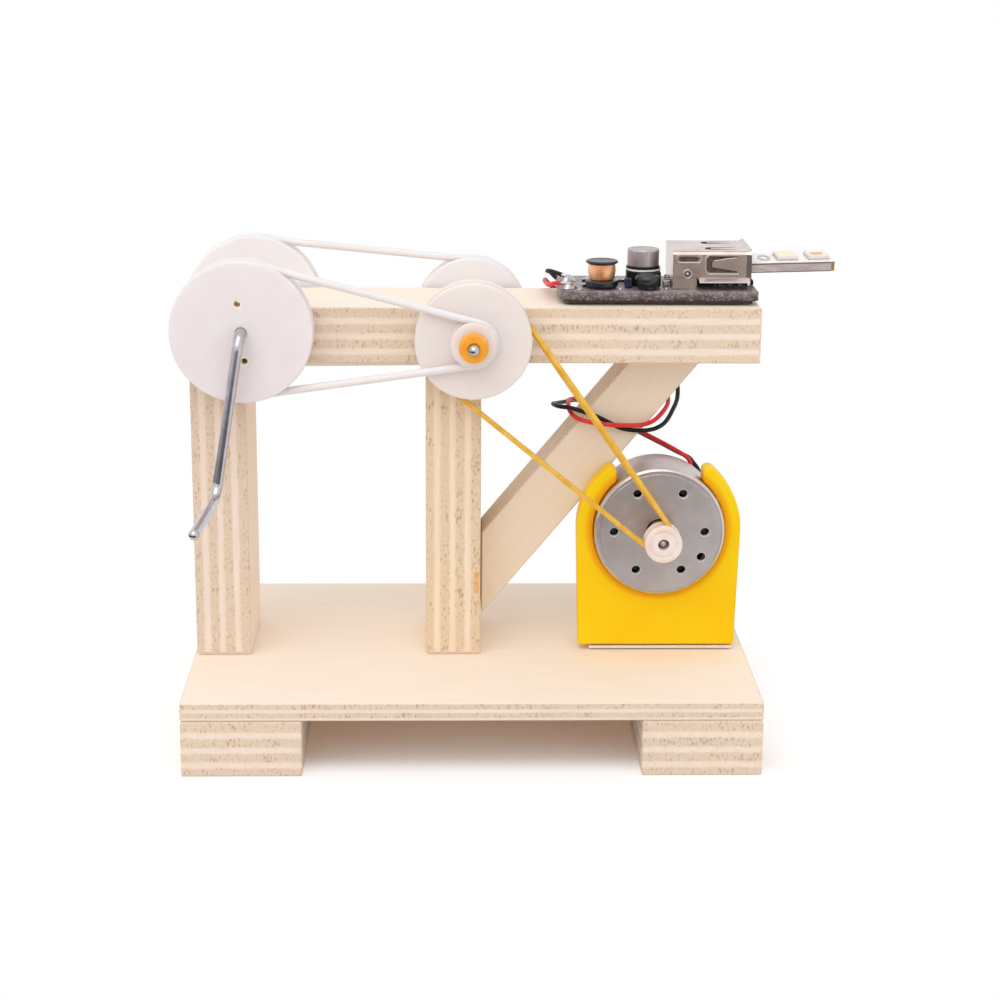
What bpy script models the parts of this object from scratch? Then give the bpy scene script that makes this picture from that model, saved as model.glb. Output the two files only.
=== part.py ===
"""A wooden hand crank generator from a science kit, built at its real size.

A bent steel crank turns two large wheels on the top beam. A rubber belt carries the turning to a
small pulley beside the front middle wheel, and a second belt carries it on to a flat motor, which
works as the generator. Wires lead from the motor to a voltage board on the beam, where a stick of
two lights plugs into a USB socket. All sizes are in metres, +X is right, +Y is back, +Z is up.
"""
import math

import bmesh
import bpy
from mathutils import Matrix, Vector

# Fits that the whole model shares
FIT_GAP = 0.0003           # between pieces that rest on, hold or turn on each other
SEAT_GAP = 0.0001          # under the small parts soldered to the board

# Plywood
BASE_LENGTH = 0.104
BASE_DEPTH = 0.072
BASE_THICK = 0.0033
STRIP_WIDE = 0.0216        # every foot, post and beam is a length of one plywood strip
STRIP_THICK = 0.0102
WOOD_EDGE = 0.0002         # sanded edge
POST_LENGTH = 0.0555
POST_SETBACK = 0.0266      # from the base's front edge to the fronts of the posts
POST_INSET = 0.0005        # from the base's left edge to the left post
POST_SPACING = 0.04305
BEAM_OVERRUN = 0.0003      # the beam is this much longer than the base
BRACE_DEPTH = 0.0108
BRACE_PITCH = math.radians(50.5)
BRACE_RISE = 0.0057        # from the base to the brace's lower tip

# Crank and axles
ROD_RADIUS = 0.0010
CRANK_FROM_END = 0.0102    # from the beam's left end to the crank's axis
CRANK_RISE = 0.0018        # crank axis above the beam's middle
AXLE_SPACING = 0.0415
CRANK_ARM = 0.0302
CRANK_LEAN = math.radians(9.3)
CRANK_BEND = 0.0021
HANDLE_LENGTH = 0.0242
HANDLE_DRIFT = 0.0015      # the hand-bent handle leans out to the left
CRANK_STANDOFF = 0.0010    # straight rod between the front wheel and the first bend
CRANK_TAIL = 0.0013        # rod that stands out behind the back wheel
AXLE_PROUD = 0.0021        # middle axle in front of its collar
AXLE_TAIL = 0.0010

# Wheels, pulleys and collars
WHEEL_THICK = 0.0053
LARGE_RADIUS = 0.01285
MEDIUM_RADIUS = 0.0106
SMALL_RADIUS = 0.0041
LARGE_GROOVE = 0.01110     # radius at the bottom of each groove
MEDIUM_GROOVE = 0.0089
SMALL_GROOVE = 0.0029
GROOVE_WIDTH = 0.0019
GROOVE_FLARE = 0.0005      # how much each side of a groove opens out at the rim
SMALL_FLANGE = 0.0008
SMALL_BACK_FLANGE = 0.0005
LARGE_STANDOFF = 0.0020    # front large wheel in front of the beam
MIDDLE_STANDOFF = 0.0010
REAR_STANDOFF = 0.0008
RIM_EDGE = 0.00025
PEG_HOLE_RADIUS = 0.00075  # two small holes in each large wheel
PEG_HOLE_CIRCLE = 0.0052
PEG_HOLE_TURN = math.radians(96)
COLLAR_RADIUS = 0.0026
COLLAR_THICK = 0.0030

# Belts
BELT_RADIUS = 0.0007
DRIVE_BELT_RADIUS = 0.0005
BELT_CLEAR = 0.0003

# Motor, measured back from the front rim of its can
MOTOR_FROM_POST = 0.03345  # motor axis from the right side of the middle post
MOTOR_PROUD = 0.0020       # can in front of the bracket
MOTOR_RADIUS = 0.0122
MOTOR_LENGTH = 0.0123
CAN_WALL = 0.0006
FACE_RECESS = 0.0003
CAN_EDGE = 0.0006
BOSS_RADIUS = 0.0031
BOSS_HEIGHT = 0.0012
BUSH_RADIUS = 0.0021
FACE_HOLE_RADIUS = 0.0008
FACE_HOLE_CIRCLE = 0.0085
FACE_HOLE_COUNT = 6
LONE_HOLE_ANGLE = math.radians(-31)
CAP_THICK = 0.0020
MAGNET_THICK = 0.0017
MAGNET_LENGTH = 0.0075
SHAFT_RADIUS = 0.00075
SHAFT_RECESS = 0.0008
PULLEY_REACH = 0.0084      # front of the pulley in front of the can's rim
PULLEY_LENGTH = 0.0039
PULLEY_RADIUS = 0.00345
PULLEY_GROOVE = 0.0018
PULLEY_GROOVE_WIDTH = 0.0015
PULLEY_FLANGE = 0.0016
AIR_GAP = 0.0004           # between the armature and the magnet
CORE_THICK = 0.0040
CORE_HUB = 0.0024
POLE_NECK = 0.0022
POLE_SHOE = 0.0012
POLE_SPREAD = math.radians(48)
WINDING_THICK = 0.0009
COMMUTATOR_RADIUS = 0.0019
COMMUTATOR_LENGTH = 0.0012
BRUSH_THICK = 0.0003
BRUSH_LENGTH = 0.0060
TERMINAL_CIRCLE = 0.0088
TERMINAL_WIDTH = 0.0020
TERMINAL_THICK = 0.0005
TERMINAL_LENGTH = 0.0016
TERMINAL_ANGLES = (math.radians(30), math.radians(50))
CORE_RADIUS = MOTOR_RADIUS - CAN_WALL - FIT_GAP - MAGNET_THICK - AIR_GAP

# Motor bracket and its foam tape
BRACKET_SIDE_FLAT = 0.0006 # how far the flat sides cut into the round of the arms
BRACKET_FLOOR = 0.0102     # plastic under the cradle
BRACKET_DEPTH = 0.0047
BRACKET_SETBACK = 0.0290   # from the base's front edge to the bracket's front
BRACKET_ARM = 0.0029
BRACKET_MOUTH_TURN = math.radians(49)   # where the inner side of each arm ends, above the horizontal
BRACKET_TIP = 0.0012       # rounding of each arm's end
BRACKET_EDGE = 0.0004
BRACKET_TAPE = 0.0005
TAPE_INSET = 0.0021        # the tape starts this far in from the bracket's left side
BRACKET_WIDTH = 2 * (MOTOR_RADIUS + FIT_GAP + BRACKET_ARM - BRACKET_SIDE_FLAT)
BRACKET_MOUTH = 2 * (MOTOR_RADIUS + FIT_GAP) * math.cos(BRACKET_MOUTH_TURN)
MOTOR_RISE = BRACKET_FLOOR + FIT_GAP + MOTOR_RADIUS   # motor axis above the bracket's underside

# Voltage board, placed from the beam's right end and front
BOARD_LENGTH = 0.0364
BOARD_DEPTH = 0.0175
BOARD_THICK = 0.0015
BOARD_INSET = 0.0004
BOARD_SETBACK = 0.0024
BOARD_CORNER = 0.0025
BOARD_TAPE = 0.0006
BOARD_TAPE_INSET = 0.0010

# Parts on the board, placed from its left end and front edge
INDUCTOR_AT = (0.0079, 0.0042)
INDUCTOR_RADIUS = 0.00295
INDUCTOR_HEIGHT = 0.0050
INDUCTOR_FLANGE = 0.0011
INDUCTOR_WAIST = 0.0015
WINDING_RADIUS = 0.00265
CAPACITOR_AT = (0.0158, 0.0080)
CAPACITOR_RADIUS = 0.0030
CAPACITOR_HEIGHT = 0.0033
CAPACITOR_BASE_HEIGHT = 0.0030
CAPACITOR_BASE_SIDE = 0.0062
CAPACITOR_BEAD = 0.0003
CHOKE_AT = (0.0162, 0.0023)
CHOKE_RADIUS = 0.0023
CHOKE_HEIGHT = 0.0026
DIODE_AT = (0.0121, 0.0034)
DIODE_SIZE = (0.0014, 0.0018, 0.0017)
RESISTOR_AT = (0.0194, 0.0056)
RESISTOR_SIZE = (0.0009, 0.0016, 0.0008)
CHIP_AT = (0.0292, 0.0062)
CHIP_SIZE = (0.0070, 0.0036, 0.0009)
CHIP_LEAD = 0.0005
SOLDER_RADIUS = 0.0011
SOLDER_HEIGHT = 0.0008
SOLDER_RED_AT = (0.0019, 0.0030)
SOLDER_BLACK_AT = (0.0021, 0.0110)

# USB socket
SOCKET_X = 0.0208          # back of the socket from the board's left end
SOCKET_SETBACK = 0.0024    # from the board's front edge to the socket's side
SOCKET_LENGTH = 0.0144
SOCKET_WIDTH = 0.0140
SOCKET_HEIGHT = 0.0054
SOCKET_RISE = 0.0016       # tunnel above the board
SHEET = 0.0004
SOCKET_CORNER = 0.0006
FLARE_LENGTH = 0.0009
FLARE = 0.0004
SKIRT_LENGTH = 0.0043
SKIRT_INSET = 0.00005      # the skirt is pressed a little inside the shell's walls
SIDE_HOLE_AT = (0.0027, 0.0012)
SIDE_HOLE_RADIUS = 0.0005
SIDE_SLOT_AT = (0.0010, 0.0036)
SIDE_SLOT_SIZE = (0.0038, 0.0008)
LEAF_START = 0.0062        # slots round the spring leaves, from the socket's back
LEAF_LENGTH = 0.0056
LEAF_SLOT = 0.0005
SIDE_LEAF_WIDTH = 0.0030
SIDE_LEAF_RISE = 0.0030
TOP_LEAF_WIDTH = 0.0026
TONGUE_THICK = 0.0014
TONGUE_WIDTH = 0.0108
TONGUE_SHORT = 0.0012      # tongue's end behind the socket's mouth
SOCKET_BLOCK = 0.0015      # insulator block that closes the socket's back

# Light stick
STICK_THICK = 0.0018
STICK_WIDTH = 0.0120
STICK_REACH = 0.0156       # stick that stands out of the socket
STICK_CORNER = 0.0008
LIGHT_SIZE = (0.0050, 0.0060, 0.0008)
LIGHT_PLACES = (0.0063, 0.0009)   # from the stick's far end to each light

# Wires
WIRE_RADIUS = 0.00055

# Heights, stacked up from the ground
BASE_BOTTOM = STRIP_THICK + FIT_GAP
BASE_TOP = BASE_BOTTOM + BASE_THICK
BEAM_BOTTOM = BASE_TOP + POST_LENGTH + 2 * FIT_GAP
BEAM_TOP = BEAM_BOTTOM + STRIP_THICK
BEAM_MIDDLE = BEAM_BOTTOM + STRIP_THICK / 2
BRACKET_BOTTOM = BASE_TOP + BRACKET_TAPE + 2 * FIT_GAP
BOARD_BOTTOM = BEAM_TOP + BOARD_TAPE + 2 * FIT_GAP
BOARD_TOP = BOARD_BOTTOM + BOARD_THICK

# Places along X and Y, measured from the middle of the base
BEAM_LEFT = -BASE_LENGTH / 2 + POST_INSET
BEAM_RIGHT = BEAM_LEFT + BASE_LENGTH + BEAM_OVERRUN
BEAM_FRONT = -BASE_DEPTH / 2 + POST_SETBACK
BEAM_BACK = BEAM_FRONT + STRIP_WIDE
MIDDLE_POST_LEFT = BEAM_LEFT + POST_SPACING
CRANK_X = BEAM_LEFT + CRANK_FROM_END
CRANK_Z = BEAM_MIDDLE + CRANK_RISE
AXLE_X = CRANK_X + AXLE_SPACING
AXLE_Z = BEAM_MIDDLE
MOTOR_X = MIDDLE_POST_LEFT + STRIP_THICK + MOTOR_FROM_POST
MOTOR_Z = BRACKET_BOTTOM + MOTOR_RISE
BRACKET_FRONT = -BASE_DEPTH / 2 + BRACKET_SETBACK
BRACE_FRONT = BRACKET_FRONT + BRACKET_DEPTH + FIT_GAP    # the bracket stands against the brace
BRACE_FOOT_X = MIDDLE_POST_LEFT + STRIP_THICK + FIT_GAP
BRACE_TIP_Z = BASE_TOP + BRACE_RISE
BRACE_HEAD_Z = BEAM_BOTTOM - FIT_GAP
BRACE_HEAD_X = BRACE_FOOT_X + (BRACE_HEAD_Z - BRACE_TIP_Z) / math.tan(BRACE_PITCH)
MOTOR_FRONT = BRACKET_FRONT - MOTOR_PROUD
MOTOR_BACK = MOTOR_FRONT + MOTOR_LENGTH
BOARD_RIGHT = BEAM_RIGHT - BOARD_INSET
BOARD_LEFT = BOARD_RIGHT - BOARD_LENGTH
BOARD_FRONT = BEAM_FRONT + BOARD_SETBACK

# Places of the wheels along the axles: the front belt slants forward to the small pulley
MIDDLE_WHEEL_BACK = BEAM_FRONT - MIDDLE_STANDOFF
MIDDLE_WHEEL_FRONT = MIDDLE_WHEEL_BACK - WHEEL_THICK
SMALL_GROOVE_BACK = MIDDLE_WHEEL_FRONT - SMALL_BACK_FLANGE
SMALL_GROOVE_FRONT = SMALL_GROOVE_BACK - GROOVE_WIDTH
SMALL_PULLEY_FRONT = SMALL_GROOVE_FRONT - SMALL_FLANGE
SMALL_BELT_Y = (SMALL_GROOVE_FRONT + SMALL_GROOVE_BACK) / 2
DRIVE_BELT_Y = (MIDDLE_WHEEL_FRONT + MIDDLE_WHEEL_BACK) / 2
CRANK_WHEEL_FRONT = BEAM_FRONT - LARGE_STANDOFF - WHEEL_THICK
FRONT_BELT_Y = CRANK_WHEEL_FRONT + WHEEL_THICK / 2
REAR_WHEEL_FRONT = BEAM_BACK + REAR_STANDOFF
BACK_BELT_Y = REAR_WHEEL_FRONT + WHEEL_THICK / 2
REAR_WHEEL_BACK = REAR_WHEEL_FRONT + WHEEL_THICK
COLLAR_FRONT = SMALL_PULLEY_FRONT - FIT_GAP - COLLAR_THICK
REAR_COLLAR_FRONT = REAR_WHEEL_BACK + FIT_GAP
CRANK_ARM_Y = CRANK_WHEEL_FRONT - CRANK_STANDOFF - CRANK_BEND
BORE_RADIUS = ROD_RADIUS + FIT_GAP
PULLEY_FRONT = MOTOR_FRONT - PULLEY_REACH
MOTOR_BELT_Y = PULLEY_FRONT + PULLEY_FLANGE + PULLEY_GROOVE_WIDTH / 2
SHAFT_BORE = SHAFT_RADIUS + FIT_GAP

# Belt lines: the belt's middle lies this far from each axis
LARGE_PITCH = LARGE_GROOVE + BELT_CLEAR + BELT_RADIUS
SMALL_PITCH = SMALL_GROOVE + BELT_CLEAR + BELT_RADIUS
MEDIUM_PITCH = MEDIUM_GROOVE + BELT_CLEAR + BELT_RADIUS
MEDIUM_DRIVE_PITCH = MEDIUM_GROOVE + BELT_CLEAR + DRIVE_BELT_RADIUS
MOTOR_PITCH = PULLEY_GROOVE + BELT_CLEAR + DRIVE_BELT_RADIUS

# The crank's corners, seen from its axis
ELBOW_X = -CRANK_ARM * math.sin(CRANK_LEAN)
ELBOW_Z = -CRANK_ARM * math.cos(CRANK_LEAN)
HANDLE_END_Y = CRANK_ARM_Y - HANDLE_LENGTH

# Socket and light stick
SOCKET_BACK_X = BOARD_LEFT + SOCKET_X
SOCKET_MOUTH_X = SOCKET_BACK_X + SOCKET_LENGTH
SOCKET_Y = BOARD_FRONT + SOCKET_SETBACK + SOCKET_WIDTH / 2
SOCKET_BOTTOM = BOARD_TOP + SOCKET_RISE
SOCKET_TOP = SOCKET_BOTTOM + SOCKET_HEIGHT
TONGUE_TOP = SOCKET_TOP - SHEET - FIT_GAP
TONGUE_BOTTOM = TONGUE_TOP - TONGUE_THICK
STICK_TOP = TONGUE_BOTTOM - FIT_GAP
STICK_BOTTOM = STICK_TOP - STICK_THICK
STICK_START_X = SOCKET_BACK_X + SHEET + FIT_GAP + SOCKET_BLOCK + FIT_GAP
STICK_END_X = SOCKET_MOUTH_X + STICK_REACH

# The frame's origin is on the ground under the middle of the whole object
HANDLE_TIP_Y = HANDLE_END_Y - ROD_RADIUS * HANDLE_DRIFT / math.hypot(HANDLE_LENGTH, HANDLE_DRIFT)
ORIGIN = Vector((
    (CRANK_X - LARGE_RADIUS + STICK_END_X) / 2,
    (HANDLE_TIP_Y + BASE_DEPTH / 2) / 2,
    0.0,
))

# Smoothness of round shapes
WHEEL_SEGMENTS = 40
MOTOR_SEGMENTS = 40
SMALL_SEGMENTS = 20
HOLE_SEGMENTS = 12
DRILL_SEAM = math.radians(8)   # keeps the corners of the holes off the corners of what they cut


def clear_scene():
    for item in list(bpy.data.objects):
        bpy.data.objects.remove(item, do_unlink=True)


def material(name, colour, roughness, metallic=0.0):
    """A Principled material in a linear colour."""
    made = bpy.data.materials.new(name)
    made.use_nodes = True
    shader = made.node_tree.nodes["Principled BSDF"]
    shader.inputs["Base Color"].default_value = (*colour, 1.0)
    shader.inputs["Roughness"].default_value = roughness
    shader.inputs["Metallic"].default_value = metallic
    made.diffuse_color = (*colour, 1.0)
    return made


def place(name, data, finish, at):
    """Adds the mesh or curve as an object whose own origin is at a point of the base's frame."""
    made = bpy.data.objects.new(name, data)
    made.location = Vector(at) - ORIGIN
    data.materials.append(finish)
    bpy.context.scene.collection.objects.link(made)
    return made


def mesh_from(bm, name, sharp_angle=math.radians(35)):
    """Turns the bmesh into a mesh with outward faces, smooth where it is round."""
    bmesh.ops.recalc_face_normals(bm, faces=bm.faces)
    mesh = bpy.data.meshes.new(name)
    bm.to_mesh(mesh)
    bm.free()
    mesh.shade_smooth()
    mesh.set_sharp_from_angle(angle=sharp_angle)
    return mesh


def block(name, low, high, finish, edge=0.0):
    """A rectangular block between two corners of the base's frame, with an eased edge."""
    low, high = Vector(low), Vector(high)
    bm = bmesh.new()
    bmesh.ops.create_cube(bm, size=1.0, matrix=Matrix.Diagonal((*(high - low), 1.0)))
    made = place(name, mesh_from(bm, name), finish, (low + high) / 2)
    if edge:
        bevel = made.modifiers.new("eased edge", "BEVEL")
        bevel.width = edge
        bevel.segments = 1
    return made


def extruded(name, outline, start, end, finish, at=(0, 0, 0), axis="Y"):
    """Carries a flat outline along an axis. The outline is (X, Z) for Y, (X, Y) for Z, (Y, Z) for X."""
    spread = {
        "X": lambda a, b, s: (s, a, b),
        "Y": lambda a, b, s: (a, s, b),
        "Z": lambda a, b, s: (a, b, s),
    }[axis]
    bm = bmesh.new()
    near = [bm.verts.new(spread(a, b, start)) for a, b in outline]
    far = [bm.verts.new(spread(a, b, end)) for a, b in outline]
    bm.faces.new(near)
    bm.faces.new(far)
    for i in range(len(outline)):
        j = (i + 1) % len(outline)
        bm.faces.new((near[i], near[j], far[j], far[i]))
    return place(name, mesh_from(bm, name), finish, at)


def turned(name, profile, finish, at, axis=(0, 1, 0), segments=WHEEL_SEGMENTS, seam=0.0):
    """Turns (radius, distance along the axis) points about the axis, from the seam's angle on.

    A profile that starts on the axis is a solid, and any other closes on itself as a ring.
    """
    along = Vector(axis)
    outward = Matrix.Rotation(seam, 3, along) @ Vector((1, 0, 0))
    bm = bmesh.new()
    verts = [bm.verts.new(outward * radius + along * s) for radius, s in profile]
    pairs = list(zip(verts, verts[1:]))
    if profile[0][0] > 0:
        pairs.append((verts[-1], verts[0]))
    edges = [bm.edges.new(pair) for pair in pairs]
    bmesh.ops.spin(
        bm, geom=verts + edges, cent=(0, 0, 0), axis=along, angle=2 * math.pi,
        steps=segments, use_merge=True,
    )
    bmesh.ops.remove_doubles(bm, verts=bm.verts, dist=1e-7)
    return place(name, mesh_from(bm, name), finish, at)


def rod(name, points, radius, finish, at=(0, 0, 0), sides=2, closed=False):
    """A round bar or cord along the points, as a bevelled curve."""
    curve = bpy.data.curves.new(name, "CURVE")
    curve.dimensions = "3D"
    curve.bevel_depth = radius
    curve.bevel_resolution = sides
    curve.use_fill_caps = not closed
    spline = curve.splines.new("POLY")
    spline.points.add(len(points) - 1)
    for slot, point in zip(spline.points, points):
        slot.co = (*point, 1.0)
    spline.use_cyclic_u = closed
    spline.use_smooth = True
    return place(name, curve, finish, at)


def combine(target, tool, operation="DIFFERENCE"):
    """Cuts the tool out of the target, or joins it on, and hides the tool."""
    step = target.modifiers.new(tool.name, "BOOLEAN")
    step.operation = operation
    step.object = tool
    step.solver = "EXACT"
    tool.hide_render = True
    tool.display_type = "WIRE"


def drill(target, radius, at, start, end, segments=HOLE_SEGMENTS):
    """Cuts a round hole along Y between two distances from a point."""
    tool = turned(f"{target.name} drill", [(0, start), (radius, start), (radius, end), (0, end)],
                  target.active_material, at, segments=segments, seam=DRILL_SEAM)
    combine(target, tool)


def arc(centre, radius, start, end, steps):
    """Points on an arc in a flat outline, both ends included."""
    return [
        (
            centre[0] + radius * math.cos(start + (end - start) * i / steps),
            centre[1] + radius * math.sin(start + (end - start) * i / steps),
        )
        for i in range(steps + 1)
    ]


def rounded_rectangle(low, high, radius, steps=3):
    """An outline with four round corners, anticlockwise from the lower right one."""
    corners = (
        (high[0] - radius, low[1] + radius, -90),
        (high[0] - radius, high[1] - radius, 0),
        (low[0] + radius, high[1] - radius, 90),
        (low[0] + radius, low[1] + radius, 180),
    )
    outline = []
    for x, y, turn in corners:
        outline += arc((x, y), radius, math.radians(turn), math.radians(turn + 90), steps)
    return outline


def plywood():
    """The base on its two feet, the posts, the beam with its axle holes, and the brace."""
    wood = material("birch plywood", (0.80, 0.66, 0.47), 0.65)
    half_length, half_depth = BASE_LENGTH / 2, BASE_DEPTH / 2
    block("base_plate", (-half_length, -half_depth, BASE_BOTTOM), (half_length, half_depth, BASE_TOP),
          wood, WOOD_EDGE)
    block("foot_left", (-half_length, -half_depth, 0), (-half_length + STRIP_WIDE, half_depth, STRIP_THICK),
          wood, WOOD_EDGE)
    block("foot_right", (half_length - STRIP_WIDE, -half_depth, 0), (half_length, half_depth, STRIP_THICK),
          wood, WOOD_EDGE)
    for name, left in (("post_left", BEAM_LEFT), ("post_middle", MIDDLE_POST_LEFT)):
        block(name, (left, BEAM_FRONT, BASE_TOP + FIT_GAP),
              (left + STRIP_THICK, BEAM_BACK, BEAM_BOTTOM - FIT_GAP), wood, WOOD_EDGE)
    beam = block("top_beam", (BEAM_LEFT, BEAM_FRONT, BEAM_BOTTOM), (BEAM_RIGHT, BEAM_BACK, BEAM_TOP),
                 wood, WOOD_EDGE)
    for x, z in ((CRANK_X, CRANK_Z), (AXLE_X, AXLE_Z)):
        drill(beam, BORE_RADIUS, (x, 0, z), BEAM_FRONT - FIT_GAP, BEAM_BACK + FIT_GAP, SMALL_SEGMENTS)
    brace(wood)


def brace(wood):
    """A strip cut flat against the middle post at its foot and against the beam at its head."""
    upright = STRIP_THICK / math.cos(BRACE_PITCH)
    outline = [
        (BRACE_FOOT_X, BRACE_TIP_Z),
        (BRACE_HEAD_X, BRACE_HEAD_Z),
        (BRACE_HEAD_X - upright / math.tan(BRACE_PITCH), BRACE_HEAD_Z),
        (BRACE_FOOT_X, BRACE_TIP_Z + upright),
    ]
    made = extruded("brace", outline, BRACE_FRONT, BRACE_FRONT + BRACE_DEPTH, wood)
    bevel = made.modifiers.new("eased edge", "BEVEL")
    bevel.width = WOOD_EDGE
    bevel.segments = 1


def grooved_profile(front, rim, groove, bore):
    """Half section of a wheel with one belt groove, as (radius, Y) points from its front face."""
    middle = front + WHEEL_THICK / 2
    half, back = GROOVE_WIDTH / 2, front + WHEEL_THICK
    return [
        (bore, front),
        (rim - RIM_EDGE, front),
        (rim, front + RIM_EDGE),
        (rim, middle - half - GROOVE_FLARE),
        (groove, middle - half),
        (groove, middle + half),
        (rim, middle + half + GROOVE_FLARE),
        (rim, back - RIM_EDGE),
        (rim - RIM_EDGE, back),
        (bore, back),
    ]


def large_wheel(name, front, plastic):
    """One of the two wheels on the crank, with its pair of peg holes."""
    wheel = turned(name, grooved_profile(front, LARGE_RADIUS, LARGE_GROOVE, BORE_RADIUS), plastic,
                   (CRANK_X, 0, CRANK_Z))
    for turn in (PEG_HOLE_TURN, PEG_HOLE_TURN + math.pi):
        at = (CRANK_X + PEG_HOLE_CIRCLE * math.cos(turn), front, CRANK_Z + PEG_HOLE_CIRCLE * math.sin(turn))
        drill(wheel, PEG_HOLE_RADIUS, at, -FIT_GAP, WHEEL_THICK + FIT_GAP)


def middle_wheels(plastic):
    """The front wheel with the small pulley moulded on its face, and the plain one at the back."""
    wheel = grooved_profile(MIDDLE_WHEEL_FRONT, MEDIUM_RADIUS, MEDIUM_GROOVE, BORE_RADIUS)
    pulley = [
        (BORE_RADIUS, SMALL_PULLEY_FRONT),
        (SMALL_RADIUS - RIM_EDGE, SMALL_PULLEY_FRONT),
        (SMALL_RADIUS, SMALL_PULLEY_FRONT + RIM_EDGE),
        (SMALL_RADIUS, SMALL_GROOVE_FRONT - RIM_EDGE),
        (SMALL_GROOVE, SMALL_GROOVE_FRONT),
        (SMALL_GROOVE, SMALL_GROOVE_BACK),
        (SMALL_RADIUS, SMALL_GROOVE_BACK + RIM_EDGE),
        (SMALL_RADIUS, MIDDLE_WHEEL_FRONT),
    ]
    turned("middle_wheel_front", pulley + wheel[1:], plastic, (AXLE_X, 0, AXLE_Z))
    turned("middle_wheel_back", grooved_profile(REAR_WHEEL_FRONT, MEDIUM_RADIUS, MEDIUM_GROOVE, BORE_RADIUS),
           plastic, (AXLE_X, 0, AXLE_Z))


def middle_axle(steel, orange):
    """The fixed axle that both middle wheels spin on, with a press-on collar at each end."""
    front, back = COLLAR_FRONT - AXLE_PROUD, REAR_COLLAR_FRONT + COLLAR_THICK + AXLE_TAIL
    turned("middle_axle", [(0, front), (ROD_RADIUS - RIM_EDGE, front), (ROD_RADIUS, front + RIM_EDGE),
                           (ROD_RADIUS, back - RIM_EDGE), (ROD_RADIUS - RIM_EDGE, back), (0, back)],
           steel, (AXLE_X, 0, AXLE_Z), segments=SMALL_SEGMENTS)
    for name, start in (("collar_front", COLLAR_FRONT), ("collar_back", REAR_COLLAR_FRONT)):
        end = start + COLLAR_THICK
        turned(name, [(BORE_RADIUS, start), (COLLAR_RADIUS - RIM_EDGE, start),
                      (COLLAR_RADIUS, start + RIM_EDGE), (COLLAR_RADIUS, end - RIM_EDGE),
                      (COLLAR_RADIUS - RIM_EDGE, end), (BORE_RADIUS, end)],
               orange, (AXLE_X, 0, AXLE_Z), segments=24)


def rounded_corner(before, corner, after, radius, steps):
    """Points of the arc that rounds off one corner of a bent rod."""
    to_before = (before - corner).normalized()
    to_after = (after - corner).normalized()
    half_angle = to_before.angle(to_after) / 2
    centre = corner + (to_before + to_after).normalized() * (radius / math.sin(half_angle))
    start = corner + to_before * (radius / math.tan(half_angle)) - centre
    end = corner + to_after * (radius / math.tan(half_angle)) - centre
    sweep = start.angle(end)
    return [
        centre + (start * math.sin(sweep * (1 - i / steps)) + end * math.sin(sweep * i / steps))
        / math.sin(sweep)
        for i in range(steps + 1)
    ]


def crank_rod(steel):
    """One steel rod: through the beam and both large wheels, down the arm and out to the handle."""
    tail = Vector((0, REAR_WHEEL_BACK + CRANK_TAIL, 0))
    shoulder = Vector((0, CRANK_ARM_Y, 0))
    elbow = Vector((ELBOW_X, CRANK_ARM_Y, ELBOW_Z))
    tip = Vector((ELBOW_X - HANDLE_DRIFT, HANDLE_END_Y, ELBOW_Z))
    path = [tail]
    path += rounded_corner(tail, shoulder, elbow, CRANK_BEND, 6)
    path += rounded_corner(shoulder, elbow, tip, CRANK_BEND, 6)
    path.append(tip)
    rod("crank_rod", path, ROD_RADIUS, steel, (CRANK_X, 0, CRANK_Z), sides=4)


def belt_path(first, first_pitch, second, second_pitch, steps_each):
    """The closed line of an open belt round two pulleys whose grooves may lie a little apart in Y.

    Its straight runs touch both pitch circles on the same side. Their direction leans off the line of
    centres by the angle whose sine is the difference of the radii over the distance of the centres.
    """
    first, second = Vector(first), Vector(second)
    flat = Vector((second.x - first.x, second.z - first.z))
    heading = math.atan2(flat.y, flat.x)
    lean = math.acos((first_pitch - second_pitch) / flat.length)

    def on_circle(centre, pitch, angle):
        return Vector((centre.x + pitch * math.cos(angle), centre.y, centre.z + pitch * math.sin(angle)))

    wrap = 2 * (math.pi - lean)
    points = [
        on_circle(first, first_pitch, heading + lean + wrap * i / steps_each[0])
        for i in range(steps_each[0] + 1)
    ]
    points += [
        on_circle(second, second_pitch, heading - lean + 2 * lean * i / steps_each[1])
        for i in range(steps_each[1] + 1)
    ]
    return points


def belts():
    """Two pale rubber belts from the large wheels, and the yellow one down to the motor."""
    pale = material("pale rubber", (0.83, 0.78, 0.75), 0.5)
    amber = material("amber rubber", (0.85, 0.56, 0.10), 0.45)
    rod("front_belt", belt_path((CRANK_X, FRONT_BELT_Y, CRANK_Z), LARGE_PITCH,
                                (AXLE_X, SMALL_BELT_Y, AXLE_Z), SMALL_PITCH, (26, 14)),
        BELT_RADIUS, pale, closed=True)
    rod("back_belt", belt_path((CRANK_X, BACK_BELT_Y, CRANK_Z), LARGE_PITCH,
                               (AXLE_X, BACK_BELT_Y, AXLE_Z), MEDIUM_PITCH, (22, 18)),
        BELT_RADIUS, pale, closed=True)
    rod("drive_belt", belt_path((AXLE_X, DRIVE_BELT_Y, AXLE_Z), MEDIUM_DRIVE_PITCH,
                                (MOTOR_X, MOTOR_BELT_Y, MOTOR_Z), MOTOR_PITCH, (24, 12)),
        DRIVE_BELT_RADIUS, amber, closed=True)


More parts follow.
